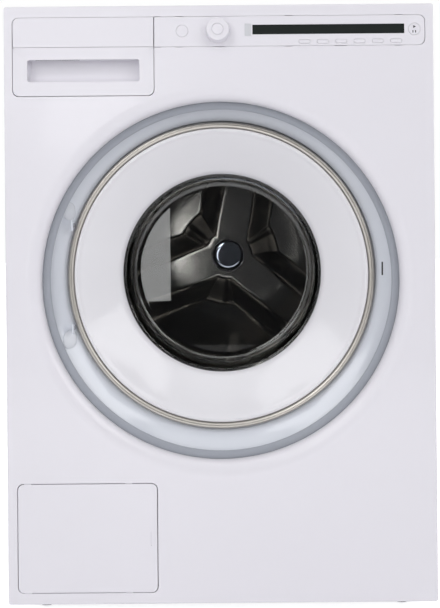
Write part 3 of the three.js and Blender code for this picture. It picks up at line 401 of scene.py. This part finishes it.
sheet_thick = 0.0012
sheet_soft = 0.0005
fold = 0.011
fold_soft = 0.0004
board_soft = 0.0025
for side, name in ((-1, "left"), (1, "right")):
    low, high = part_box(f"{name}_side_panel")
    outer = low.x if side < 0 else high.x
    skin_x = sorted((outer, outer - side * sheet_thick))
    fold_x = sorted((outer - side * sheet_thick, outer - side * fold))
    bm = bmesh.new()
    add_box(bm, (skin_x[0], low.y, low.z), (skin_x[1], high.y, high.z), sheet_soft, 2)
    for y in (low.y, high.y - sheet_thick):
        add_box(bm, (fold_x[0], y, low.z), (fold_x[1], y + sheet_thick, high.z), fold_soft, 2)
    add_box(bm, (fold_x[0], low.y + sheet_thick, high.z - sheet_thick),
            (fold_x[1], high.y - sheet_thick, high.z), fold_soft, 2)
    make_piece(f"{name}_side_sheet", bm, "cabinet", enamel, [f"{name}_side_panel"], flat=True)
low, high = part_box("top_cover")
bm = bmesh.new()
add_box(bm, low, high, board_soft, 4)
make_piece("top_board", bm, "cabinet", enamel, ["top_cover"], flat=True)


# The drawer front is moulded in two flush panels with a fine joint between them.
# Its handle is a scooped hollow with a lip along the top for the fingertips.
moulded_white = finish("moulded_white", srgb(231, 229, 236), srgb(227, 225, 232), (0.32, 0.40), patch=8,
                       skin=1200, depth=0.00001)
recess = (-0.2648, -0.1100, 0.7456, 0.7759)
joint_z = 0.79305
joint_half = 0.0002
plate_thick = 0.003
plate_soft = 0.0005
hair_gap = 0.0001
sharp = 0.0001
inset = 0.001
recess_corner = 0.0028
recess_soft = 0.0009
grip_rise = 0.0100
drawer_back = 0.0238
bm = bmesh.new()
add_sheet(bm, rounded(drawer[0], drawer[1], drawer[2], joint_z - joint_half, (corner_r, corner_r, sharp, sharp)),
          [rounded(*recess, recess_corner)], 0, plate_thick, plate_soft, recess_soft)
add_sheet(bm, rounded(drawer[0], drawer[1], joint_z + joint_half, drawer[3], (sharp, sharp, 0.0006, corner_r)),
          [], 0, plate_thick, plate_soft)
add_sheet(bm, rounded(drawer[0] + inset, drawer[1] - inset, drawer[2] + inset, drawer[3] - inset, corner_r - inset),
          [rounded(recess[0] - inset, recess[1] + inset, recess[2] - inset, recess[3] + grip_rise + inset,
                   recess_corner)], plate_thick + hair_gap, drawer_back, 0.0002)
make_piece("drawer_face", bm, "drawer", moulded_white, ["drawer_front"], flat=True)

# The scoop is the hollow behind the drawer's front, moulded in the same white plastic.
# It runs from the front edge round a deep back, and its ends are softly rounded.
scoop_end = 0.0006
scoop = [(recess[3] + 0.0005, plate_thick), (recess[3] + grip_rise - 0.0008, 0.0035),
         (recess[3] + grip_rise, 0.0060), (recess[3] + grip_rise - 0.0005, 0.0150),
         (recess[3] + 0.0060, 0.0178), (recess[3] - 0.0010, 0.0188), (recess[2] + 0.0140, 0.0186),
         (recess[2] + 0.0070, 0.0172), (recess[2] + 0.0025, 0.0140), (recess[2] + 0.0006, 0.0090),
         (recess[2] - 0.0005, plate_thick)]
bm = bmesh.new()
left_side = [bm.verts.new((recess[0] - scoop_end, front_y + depth, z)) for z, depth in scoop]
run = [bm.edges.new(pair) for pair in zip(left_side, left_side[1:])]
made = bmesh.ops.extrude_edge_only(bm, edges=run)["geom"]
right_side = [item for item in made if isinstance(item, bmesh.types.BMVert)]
bmesh.ops.translate(bm, vec=(recess[1] - recess[0] + 2 * scoop_end, 0, 0), verts=right_side)
front_edge_y = front_y + plate_thick + hair_gap
bmesh.ops.contextual_create(bm, geom=left_side)
bmesh.ops.contextual_create(bm, geom=right_side)
ends = [edge for edge in bm.edges if len(edge.link_faces) == 2
        and abs(edge.verts[0].co.x - edge.verts[1].co.x) < 0.0001
        and max(vert.co.y for vert in edge.verts) > front_edge_y]
round_over(bm, ends, recess_corner, 4)
make_piece("drawer_scoop", bm, "drawer", moulded_white, smooth=math.radians(60))

# A thin strip of dark grey under the upper lip, at the left end of the scoop, is painted shade:
# it stands in for the shadow in the gap behind the lip.
lip_shade_paint = finish("lip_shade_paint", srgb(70, 70, 74), srgb(60, 60, 64), (0.5, 0.6), patch=40, skin=900, depth=0.00001)
shade_start = 0.0105
shade_end = 0.0720
shade_low = 0.0002
shade_high = 0.0016
shade_front = plate_thick + 0.0002
shade_back = plate_thick + 0.0012
bm = bmesh.new()
add_sheet(bm, rounded(recess[0] + shade_start, recess[0] + shade_end, recess[3] - shade_low, recess[3] + shade_high,
                      0.0002, 2), [], shade_front, shade_back, 0.0001)
make_piece("lip_shade_strip", bm, "drawer", lip_shade_paint)


# The control panel is a moulded strip. It has holes for the controls and a window
# for the display, and round and pill-shaped keys fill them almost flush.
control_z = 0.8144
power_x = -0.0503
knob_x = -0.0008
start_x = 0.2708
option_x = [0.1191 + 0.02534 * i for i in range(6)]
option_z = 0.7985
option_half = 0.00785
option_tall = 0.00265
display = (0.0470, 0.2572, 0.8088, 0.8222)
key_r = 0.0082
key_gap = 0.00025
key_back = 0.0135
shaft_hole_r = 0.0045
window_corner = 0.0004
strip_soft = 0.0004
strip_rim = 0.0016
strip_back = 0.0258
strip_left_corner = 0.0003
strip_corners = (strip_left_corner, corner_r, corner_r, strip_left_corner)
rim_corner = corner_r - strip_rim
rim_corners = (strip_left_corner, rim_corner, rim_corner, strip_left_corner)


def pill(x, gap):
    tall = option_tall + gap
    half = option_half + gap
    return rounded(x - half, x + half, option_z - tall, option_z + tall, tall - 0.0001, 8)


bm = bmesh.new()
holes = [round_hole(power_x, control_z, key_r + key_gap), round_hole(start_x, control_z, key_r + key_gap),
         round_hole(knob_x, control_z, shaft_hole_r), rounded(*display, window_corner)]
holes += [pill(x, key_gap) for x in option_x]
add_sheet(bm, rounded(*strip, strip_corners), holes, 0, plate_thick, strip_soft, 0.0002)
rim_loops = [ring(bm, rounded(*strip, strip_corners), plate_thick + hair_gap),
             ring(bm, rounded(strip[0] + strip_rim, strip[1] - strip_rim, strip[2] + strip_rim,
                              strip[3] - strip_rim, rim_corners), plate_thick + hair_gap)]
fill(bm, rim_loops)
fill(bm, [push_back(bm, loop, strip_back - plate_thick) for loop in rim_loops], 1)
make_piece("control_strip", bm, "cabinet", moulded_white, ["control_panel"], flat=True)

# The keys are moulded in the strip's white plastic, and each slides in its own hole.
# The two round keys stand almost flush, and the six pill-shaped ones a little prouder.
round_key_front = -0.0002
option_key_front = -0.0005
for name, x in (("power", power_x), ("start", start_x)):
    bm = bmesh.new()
    add_sheet(bm, round_hole(x, control_z, key_r), [], round_key_front, key_back, 0.0004)
    make_piece(f"{name}_key", bm, name, moulded_white, [f"{name}_button"], flat=True)
for i, x in enumerate(option_x):
    bm = bmesh.new()
    add_sheet(bm, pill(x, 0), [], option_key_front, key_back, 0.0007)
    make_piece(f"option_key_{i + 1}", bm, f"option_{i + 1}", moulded_white,
               [f"option_button_{i + 1}"], flat=True)

# The start key carries a triangle above two short bars. They are a thin grey print
# on the key's face, and move with it.
print_grey = finish("print_grey", srgb(60, 62, 68), srgb(52, 54, 60), (0.5, 0.6), patch=60, skin=3000,
                    depth=0.000003)
print_front = -0.00024
print_soft = 0.00001
bar_shift = 0.0018
bar_half = 0.0007
bar_low = 0.0050
bar_high = 0.0017
bm = bmesh.new()
play = [(start_x - 0.0014, control_z + 0.0014), (start_x + 0.0024, control_z + 0.0034),
        (start_x - 0.0014, control_z + 0.0054)]
add_sheet(bm, play, [], print_front, 0, print_soft)
for shift in (-bar_shift, bar_shift):
    add_sheet(bm, rounded(start_x + shift - bar_half, start_x + shift + bar_half, control_z - bar_low,
                          control_z - bar_high, 0.0001, 2), [], print_front, 0, print_soft)
make_piece("start_mark", bm, "start", print_grey)

# The display is a dark glossy window of smoked plastic. It is fixed in the strip's
# long hole, and stands a little behind the face.
dark_window = finish("dark_window", srgb(40, 44, 43), srgb(34, 38, 37), (0.22, 0.28), patch=4, skin=600,
                     depth=0.000003, shine=0.2)
display_front = 0.001
bm = bmesh.new()
add_sheet(bm, rounded(*display, window_corner), [], display_front, plate_thick, 0.0002)
make_piece("display_glass", bm, "cabinet", dark_window, ["display_window"], flat=True)

# A small plate stands at the display's left end. It is thin satin-silver metal,
# glued onto the strip's face.
silver = finish("satin_silver", srgb(214, 215, 220), srgb(206, 207, 212), (0.38, 0.46), patch=30, skin=2500,
                depth=0.000004, metallic=0.3)
label = (0.0362, 0.0452, 0.8066, 0.8237)
label_front = -0.0007
label_back = -0.0003
bm = bmesh.new()
add_sheet(bm, rounded(*label, 0.0004), [], label_front, label_back, 0.0001)
make_piece("silver_label", bm, "cabinet", silver, ["silver_plate"], flat=True)


# The program knob is a disc of white plastic with a soft outer edge and a set-in
# round cap. It turns on a stub shaft that runs through the strip.
def spin_ring(bm, outline, axis_z, steps=160, axis_x=0.0, closed=True):
    """Turns an outline of radius and depth about a front-to-back axis."""
    verts = [bm.verts.new((axis_x + radius, front_y + depth, axis_z)) for radius, depth in outline]
    edges = [bm.edges.new((verts[i - 1], verts[i])) for i in range(0 if closed else 1, len(verts))]
    bmesh.ops.spin(bm, geom=verts + edges, cent=(axis_x, 0, axis_z), axis=(0, 1, 0), angle=math.tau,
                   steps=steps, use_merge=True)


axis_r = 0.00001
knob_outline = [(axis_r, -0.0134), (0.0068, -0.0134), (0.0073, -0.0132), (0.0074, -0.0124), (0.0078, -0.0124),
                (0.0079, -0.0134), (0.0084, -0.0139), (0.0138, -0.0140), (0.0148, -0.0138), (0.0154, -0.0132),
                (0.0157, -0.0122), (0.0168, -0.0020), (0.0171, -0.0006), (0.0168, -0.0004), (0.0040, -0.0004),
                (0.0040, key_back), (axis_r, key_back)]
bm = bmesh.new()
spin_ring(bm, knob_outline, control_z, 96, knob_x)
make_piece("knob_body", bm, "knob", moulded_white, ["program_knob"], flat=True)


# The service flap is a flat moulded lid. Four light lugs bridge the gap round it,
# and a thin slot at the right takes a coin or a fingernail.
flap_corner = corner_r - flap_gap
flap_rim = 0.0025
flap_thick = 0.0025
flap_back = 0.008
coin_slot = (-0.0993, -0.0977, 0.1027, 0.1221)
coin_depth = 0.0012
lug_columns = ((-0.2743, -0.2647), (-0.1342, -0.1247))
lug_front = 0.0006
lug_back = 0.006
bm = bmesh.new()
add_sheet(bm, rounded(*flap, flap_corner), [rounded(*coin_slot, 0.0007, 3)], 0, flap_thick, 0.0006, 0.0002)
add_sheet(bm, rounded(*flap, flap_corner),
          [rounded(flap[0] + flap_rim, flap[1] - flap_rim, flap[2] + flap_rim, flap[3] - flap_rim,
                   flap_corner - flap_rim)], flap_thick, flap_back, 0.0001, 0.0001)
add_sheet(bm, rounded(coin_slot[0] - inset, coin_slot[1] + inset, coin_slot[2] - inset, coin_slot[3] + inset,
                      0.001, 3), [], coin_depth, flap_thick, 0.0001)
make_piece("flap_lid", bm, "flap", enamel, ["service_flap"], flat=True)
bm = bmesh.new()
for x0, x1 in lug_columns:
    for z0, z1 in ((flap[3], flap[3] + flap_gap), (flap[2] - flap_gap, flap[2])):
        add_box(bm, (x0, front_y + lug_front, z0 + hair_gap), (x1, front_y + lug_back, z1 - hair_gap), 0.0001, 1)
make_piece("flap_lugs", bm, "cabinet", enamel)


# The grey band is a soft lip behind the opening's rolled edge. It is fixed to the
# cabinet and leaves the floating collar room to move.
def soften(outline):
    """Cuts the corners of a closed outline, so that a turned ring has no hard edge."""
    softer = []
    for i, (radius, depth) in enumerate(outline):
        next_radius, next_depth = outline[(i + 1) % len(outline)]
        softer.append((radius * 0.75 + next_radius * 0.25, depth * 0.75 + next_depth * 0.25))
        softer.append((radius * 0.25 + next_radius * 0.75, depth * 0.25 + next_depth * 0.75))
    return softer


band_rubber = finish("band_rubber", srgb(158, 162, 171), srgb(150, 154, 164), (0.5, 0.62), patch=12, skin=700,
                     depth=0.00003)
band_inner = 0.2397
band_outline = [(0.2555, 0.0178), (0.2490, 0.0180), (0.244, 0.0188), (band_inner, 0.0205), (band_inner, 0.0222),
                (0.2505, 0.0205), (0.259, 0.0200), (0.259, 0.0178)]
bm = bmesh.new()
spin_ring(bm, soften(band_outline), opening_z)
make_piece("grey_band", bm, "cabinet", band_rubber, ["opening_band"])


# The collar ring is a glossy plastic moulding, fixed to the floating tub. Its hollow
# front dips between the grey band and the door.
tub_z = 0.4726
collar_gloss = finish("collar_gloss", srgb(214, 218, 227), srgb(208, 212, 222), (0.12, 0.18), patch=8, skin=300,
                      depth=0.000005, coat=0.3)
collar_front = [(0.220, 0.0465), (0.2204, 0.0449), (0.2216, 0.0436), (0.2245, 0.0420), (0.228, 0.0402),
                (0.232, 0.0378), (0.236, 0.0352), (0.240, 0.0322), (0.245, 0.0285), (0.250, 0.0250)]
bm = bmesh.new()
spin_ring(bm, [(0.220, 0.076), *collar_front, (0.2512, 0.0262), (0.2465, 0.0308), (0.239, 0.0362),
               (0.231, 0.0410), (0.2232, 0.0460), (0.2225, 0.076)], tub_z)
make_piece("collar_moulding", bm, "tub", collar_gloss, ["collar_ring"])


# Two pill-shaped plastic covers hide the hinge's screws at the collar's left. At its right a thin
# black sheet is painted shade: it stands in for the dark inside of the latch's slot, which is not cut.
# All three lie on the hollow front.
def collar_depth(radius):
    """The depth of the collar's hollow front at a radius."""
    for (inner_r, inner_depth), (outer_r, outer_depth) in zip(collar_front, collar_front[1:]):
        if radius <= outer_r:
            share = max(0.0, (radius - inner_r) / (outer_r - inner_r))
            return inner_depth + (outer_depth - inner_depth) * share
    return collar_front[-1][1]


def lay_on_collar(bm):
    """Bends a flat piece made at depth zero onto the collar's hollow front."""
    for vert in bm.verts:
        vert.co.y += collar_depth(math.hypot(vert.co.x, vert.co.z - tub_z))


pill_cover = finish("pill_cover", srgb(216, 219, 226), srgb(210, 213, 221), (0.22, 0.28), patch=20, skin=900,
                    depth=0.000005)
cover_x = (-0.2240, -0.2080)
cover_middles = (tub_z + 0.0933, tub_z - 0.0893)
cover_half = 0.0125
cover_corner = 0.0078
cover_rise = 0.0011
sunk = 0.0015
bm = bmesh.new()
for middle in cover_middles:
    add_sheet(bm, rounded(*cover_x, middle - cover_half, middle + cover_half, cover_corner), [], -cover_rise, sunk,
              0.0007)
lay_on_collar(bm)
make_piece("hinge_covers", bm, "tub", pill_cover)
# Painted shade: a black sheet laid on the collar stands in for the shade inside the latch slot.
slot_shade_black = finish("slot_shade_black", srgb(26, 27, 29), srgb(20, 21, 23), (0.5, 0.6), patch=20, skin=900,
                    depth=0.00001)
latch_slot = (0.2284, 0.2304, 0.4706, 0.4897)
bm = bmesh.new()
add_sheet(bm, rounded(*latch_slot, 0.0004, 2), [], -hair_gap, sunk, 0.00005)
lay_on_collar(bm)
make_piece("slot_painted_shade", bm, "tub", slot_shade_black)


# The door's rim is a polished steel band, rolled round and pressed over the door ring.
# A butt joint at the bottom closes it, and shows as one fine bright line.
polished = finish("polished_steel", srgb(186, 182, 176), srgb(168, 164, 158), (0.28, 0.34), patch=14, skin=1500,
                  depth=0.000002, metallic=1.0)
door_r = 0.2183
trim_inner = 0.210
nose_r = (door_r - trim_inner) / 2
nose_depth = 0.0375
nose_steps = 10
rim_back = 0.056
bm = bmesh.new()
nose = [(trim_inner + nose_r + nose_r * math.cos(turn), nose_depth - nose_r * math.sin(turn))
        for turn in (math.pi * step / nose_steps for step in range(nose_steps + 1))]
spin_ring(bm, nose + [(trim_inner, rim_back), (door_r, rim_back)], tub_z, 200)
make_piece("door_rim", bm, "door", polished, ["door_trim"])
butt_x = 0.0075
butt_half = 0.0005
butt_depth = (0.0338, 0.0360)
butt_z = (tub_z - door_r + 0.0010, tub_z - door_r + 0.0062)
bm = bmesh.new()
add_box(bm, (butt_x - butt_half, front_y + butt_depth[0], butt_z[0]),
        (butt_x + butt_half, front_y + butt_depth[1], butt_z[1]), 0.0002, 1)
make_piece("rim_joint", bm, "door", polished)

# The door turns on two slim pins beside its rim. A thin arm of the same grey
# moulding runs back from each pin and in behind the rim.
pin_x = -0.210
pin_depth = 0.026
pin_r = 0.0015
pin_length = 0.015
pin_middles = (tub_z - 0.073, tub_z + 0.073)
arm_half = 0.003
arm_start = pin_x + 0.0002
arm_thick = 0.001
arm_end = pin_x + 0.009
arm_back = 0.046
bm = bmesh.new()
for middle in pin_middles:
    made = bmesh.ops.create_cone(bm, cap_ends=True, segments=24, radius1=pin_r, radius2=pin_r,
                                 depth=pin_length)["verts"]
    bmesh.ops.translate(bm, vec=(pin_x, front_y + pin_depth, middle), verts=made)
    add_box(bm, (arm_start, front_y + pin_depth, middle - arm_half),
            (arm_start + arm_thick, front_y + arm_back, middle + arm_half), 0.0003, 1)
    add_box(bm, (arm_start, front_y + arm_back - arm_thick, middle - arm_half),
            (arm_end, front_y + arm_back, middle + arm_half), 0.0003, 1)
make_piece("hinge_pins", bm, "door", collar_gloss, ["door_hinge"])


# The door ring is one white glossy moulding, held in the steel rim. A raised lip stands
# inside the rim, and a long slope runs from it down to the window.
gloss_white = finish("gloss_white", srgb(228, 227, 232), srgb(225, 224, 229), (0.10, 0.14), patch=5, skin=250,
                     depth=0.000005, shine=0.4)
window_r = 0.145
funnel_outline = [(0.2097, 0.0400), (0.2094, 0.0379), (0.2082, 0.0367), (0.2065, 0.0363), (0.2048, 0.0367),
                  (0.2032, 0.0379), (0.2016, 0.0391), (0.1990, 0.0405), (0.194, 0.0432), (0.186, 0.0477),
                  (0.177, 0.0531), (0.168, 0.0586), (0.159, 0.0641), (0.1525, 0.0682), (0.1495, 0.0703),
                  (0.1473, 0.0724), (0.1458, 0.0744), (window_r, 0.0762), (0.1480, 0.0762), (0.1530, 0.0722),
                  (0.168, 0.0626), (0.186, 0.0517), (0.2005, 0.0435), (0.2067, 0.0435), (0.2067, rim_back),
                  (0.2097, rim_back)]
bm = bmesh.new()
spin_ring(bm, funnel_outline, tub_z, 200)
make_piece("door_funnel", bm, "door", gloss_white, ["door_ring"])


# The window is one thick bowl of clear pressed glass with a flat front. Its flange is
# clamped behind the door ring by a steel frame.
glass = bpy.data.materials.new("clear_glass")
glass.use_nodes = True
glass_shader = glass.node_tree.nodes["Principled BSDF"]
glass_shader.inputs["Base Color"].default_value = (0.86, 0.88, 0.88, 1)
glass_shader.inputs["Roughness"].default_value = 0.01
glass_shader.inputs["Transmission Weight"].default_value = 1.0
glass_shader.inputs["IOR"].default_value = 1.45
bowl_outline = [(axis_r, 0.1223), (0.124, 0.1223), (0.126, 0.1223), (0.1300, 0.1216), (0.1333, 0.1198),
                (0.1354, 0.1168), (0.1364, 0.1130), (0.1402, 0.0810), (0.1410, 0.0782), (0.1428, 0.0768),
                (window_r, 0.0765), (0.156, 0.0765), (0.156, 0.0808), (0.1462, 0.0810), (0.1446, 0.0826),
                (0.1408, 0.1140), (0.1393, 0.1195), (0.1358, 0.1240), (0.1310, 0.1263), (0.126, 0.1268),
                (0.124, 0.1268), (axis_r, 0.1268)]
bm = bmesh.new()
spin_ring(bm, bowl_outline, tub_z, 200)
make_piece("window_bowl", bm, "door", glass, ["door_glass"])


# The drum is rolled from thin stainless sheet with rows of small punched holes, set
# like the black fields of a chessboard. Its front is turned in to a smooth mouth.
drum_steel = finish("drum_steel", srgb(176, 170, 164), srgb(156, 151, 146), (0.36, 0.44), patch=9, skin=800,
                    depth=0.000002, metallic=1.0)
drum_r = 0.247
drum_back = 0.456
drum_steps = 300
hole_r = 0.0016
rows = 64
first_row = 0.130
last_row = 0.4575
plain_rows = 3
bm = bmesh.new()
row_verts = [bm.verts.new((drum_r, front_y + first_row + (last_row - first_row) * i / rows, tub_z))
             for i in range(rows + 1)]
row_edges = [bm.edges.new(pair) for pair in zip(row_verts, row_verts[1:])]
bmesh.ops.spin(bm, geom=row_verts + row_edges, cent=(0, 0, tub_z), axis=(0, 1, 0), angle=math.tau,
               steps=drum_steps, use_merge=True)
bmesh.ops.remove_doubles(bm, verts=bm.verts, dist=0.00001)
punched = []
for vert in bm.verts:
    row = round((vert.co.y - front_y - first_row) / (last_row - first_row) * rows)
    column = round(math.atan2(vert.co.z - tub_z, vert.co.x) / math.tau * drum_steps)
    if plain_rows < row < rows - plain_rows and (row + column) % 2 == 0:
        punched.append(vert)
made = bmesh.ops.bevel(bm, geom=punched, offset=hole_r, segments=2, profile=0.5, affect="VERTICES", material=-1)
cut_faces = set(made["faces"])
middles = [vert for vert in made["verts"] if all(face in cut_faces for face in vert.link_faces)]
for middle in middles:
    for vert in {vert for face in middle.link_faces for vert in face.verts} - {middle}:
        vert.co = middle.co + (vert.co - middle.co).normalized() * hole_r
bmesh.ops.delete(bm, geom=middles, context="VERTS")
mouth_outline = [(0.1722, 0.1295), (0.170, 0.1295), (0.170, 0.1225), (0.1705, 0.1215), (0.172, 0.122),
                 (0.238, 0.122), (0.2435, 0.1245), (drum_r, first_row)]
spin_ring(bm, mouth_outline, tub_z, drum_steps, closed=False)
make_piece("drum_wall", bm, "drum", drum_steel, ["drum_shell"])


# The drum's back is pressed into a star: a hub and three broad arms stand forward
# of three deep pockets, with soft shoulders between them.
star_steel = finish("star_steel", srgb(174, 169, 164), srgb(154, 150, 146), (0.10, 0.16), patch=12, skin=300,
                    depth=0.0000002, metallic=1.0)
star_angle = math.radians(80)
star_rise = 0.028
hub_foot = 0.090
hub_slope = 0.046
star_arm_half = 0.062
star_arm_slope = 0.032
back_edge = 0.2452
back_hole = 0.0001
back_thick = 0.0014
radial_steps = 84
star_steps = 288
smooth_rounds = 6


def star_height(radius, turn):
    """How far the pressed star stands forward, from 0 in a pocket to 1 on an arm."""
    height = (hub_foot - radius) / hub_slope
    for arm in range(3):
        lean = turn - star_angle - math.tau / 3 * arm
        if math.cos(lean) > 0:
            height = max(height, (star_arm_half - abs(radius * math.sin(lean))) / star_arm_slope)
    return min(max(height, 0.0), 1.0)


bm = bmesh.new()
spoke = [bm.verts.new((back_edge * step / radial_steps + back_hole, front_y + drum_back, tub_z))
         for step in range(radial_steps + 1)]
spoke_edges = [bm.edges.new(pair) for pair in zip(spoke, spoke[1:])]
bmesh.ops.spin(bm, geom=spoke + spoke_edges, cent=(0, 0, tub_z), axis=(0, 1, 0), angle=math.tau,
               steps=star_steps, use_merge=True)
for vert in bm.verts:
    radius = math.hypot(vert.co.x, vert.co.z - tub_z)
    turn = math.atan2(vert.co.z - tub_z, vert.co.x)
    vert.co.y -= star_rise * star_height(radius, turn)
for _ in range(smooth_rounds):
    bmesh.ops.smooth_vert(bm, verts=[vert for vert in bm.verts if not vert.is_boundary], factor=0.5,
                          use_axis_x=False, use_axis_y=True, use_axis_z=False)
back_plate = make_piece("drum_star", bm, "drum", star_steel, ["drum_back"])
wall = back_plate.modifiers.new("sheet", "SOLIDIFY")
wall.thickness = back_thick
wall.offset = 1


# Three lifters carry the laundry round. Each is a smooth ridge of pressed stainless
# sheet, fixed along the inside of the drum's wall.
def ease(value):
    value = min(max(value, 0.0), 1.0)
    return value * value * (3 - 2 * value)


lifter_offset = math.radians(72)
lifter_middle = 0.288
lifter_length = 0.276
lifter_width = 0.088
lifter_rise = 0.052
lifter_foot_r = 0.2450
end_slope = 0.14
side_slope = 0.034
for index in range(3):
    turn = star_angle + lifter_offset + math.tau / 3 * index
    bm = bmesh.new()
    bmesh.ops.create_grid(bm, x_segments=28, y_segments=48, size=0.5)
    for vert in bm.verts:
        across = vert.co.x * lifter_width
        along = vert.co.y
        ends = ease((0.5 - abs(along)) / end_slope)
        ridge = ease((lifter_width / 2 - abs(across)) / side_slope)
        radius = lifter_foot_r - lifter_rise * ridge * ends
        lean = turn + across / lifter_foot_r
        vert.co = Vector((radius * math.cos(lean), front_y + lifter_middle + along * lifter_length,
                          tub_z + radius * math.sin(lean)))
    make_piece(f"lifter_{index + 1}", bm, "drum", drum_steel, [f"drum_lifter_{index + 1}"])

# The hub cap is a turned disc of polished steel with a flat face and a gently rounded
# edge. It is pressed on over the drum's bolt.
cap_steel = finish("cap_steel", srgb(168, 172, 184), srgb(156, 160, 172), (0.06, 0.10), patch=20, skin=1500,
                   depth=0.0000001, metallic=1.0)
cap_outline = [(axis_r, 0.4237), (0.0165, 0.4237), (0.0175, 0.4237), (0.0195, 0.42375), (0.0215, 0.42391),
               (0.0235, 0.42417), (0.0255, 0.42454), (0.0275, 0.42502), (0.0287, 0.42539), (0.0295, 0.42585),
               (0.0299, 0.42654), (0.0300, 0.4277), (axis_r, 0.4277)]
bm = bmesh.new()
spin_ring(bm, cap_outline, tub_z, 96)
make_piece("hub_disc", bm, "drum", cap_steel, ["hub_cap"])


# The pieces that show as they were modelled get the finish of what they are made of:
# grey moulded plastic, black plastic, rubber, zinc-coated sheet, cast metal and concrete.
plastic_grey = finish("plastic_grey", srgb(150, 154, 159), srgb(140, 144, 149), (0.45, 0.55), patch=10, skin=800,
                      depth=0.00002)
plastic_black = finish("plastic_black", srgb(44, 46, 48), srgb(36, 38, 40), (0.42, 0.55), patch=14, skin=900,
                       depth=0.00002)
rubber_black = finish("rubber_black", srgb(34, 35, 36), srgb(26, 27, 28), (0.7, 0.85), patch=20, skin=1200,
                      depth=0.00003)
zinc = finish("zinc_coat", srgb(176, 180, 184), srgb(150, 154, 158), (0.34, 0.52), patch=40, skin=500,
              depth=0.00002, metallic=0.9)
cast_metal = finish("cast_metal", srgb(168, 170, 172), srgb(146, 148, 150), (0.5, 0.65), patch=25, skin=400,
                    depth=0.00008, metallic=0.9)
concrete = finish("concrete", srgb(150, 146, 140), srgb(118, 115, 110), (0.8, 0.95), patch=60, skin=220,
                  depth=0.0004)
plain_steel = finish("plain_steel", srgb(168, 168, 168), srgb(148, 148, 148), (0.28, 0.4), patch=12, skin=900,
                     depth=0.00001, metallic=1.0)
left_as_modelled = {
    "base_frame": zinc, "rear_panel": zinc, "rear_access_cover": zinc, "water_inlet_valve": plastic_grey,
    "mains_gland": plastic_black, "drawer_tray": plastic_grey, "drawer_housing": plastic_grey,
    "drain_pump": plastic_grey, "filter_cap": plastic_black,
    "outer_tub": plastic_grey, "tub_front": plastic_grey, "door_lock": plastic_black,
    "shaft_bearing": plain_steel, "strut_cylinder_left": zinc, "strut_rod_left": plain_steel,
    "strut_cylinder_right": zinc, "strut_rod_right": plain_steel, "motor": plastic_black,
    "motor_pulley": plain_steel, "drum_pulley": cast_metal, "drive_belt": rubber_black,
    "counterweight": concrete, "drum_spider": cast_metal, "door_inner_frame": plain_steel,
    "door_seal": rubber_black, "latch_hook": plain_steel,
}
for name, material in left_as_modelled.items():
    mesh = nodes[name].data
    mesh.materials.clear()
    mesh.materials.append(material)

# Four feet carry the machine. Each is a black rubber pad under a six-sided lock nut,
# on a short screw that is turned into the base frame.
for name in ("front_left", "rear_left", "front_right", "rear_right"):
    low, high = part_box(f"foot_{name}")
    middle = (low + high) / 2
    pad = (0.0170, 48, 0.0, 0.0095)
    nut = (0.0085, 6, 0.0098, 0.0150)
    screw = (0.0050, 24, 0.0153, high.z)
    bm = bmesh.new()
    for radius, sides, z0, z1 in (pad, nut, screw):
        made = bmesh.ops.create_cone(bm, cap_ends=True, segments=sides, radius1=radius, radius2=radius,
                                     depth=z1 - z0)["verts"]
        bmesh.ops.translate(bm, vec=(middle.x, middle.y, (z0 + z1) / 2), verts=made)
        edges = {edge for vert in made for edge in vert.link_edges
                 if abs(edge.verts[0].co.z - edge.verts[1].co.z) < 0.0001}
        round_over(bm, list(edges), 0.0006, 2)
    make_piece(f"{name}_foot", bm, "cabinet", rubber_black, [f"foot_{name}"])
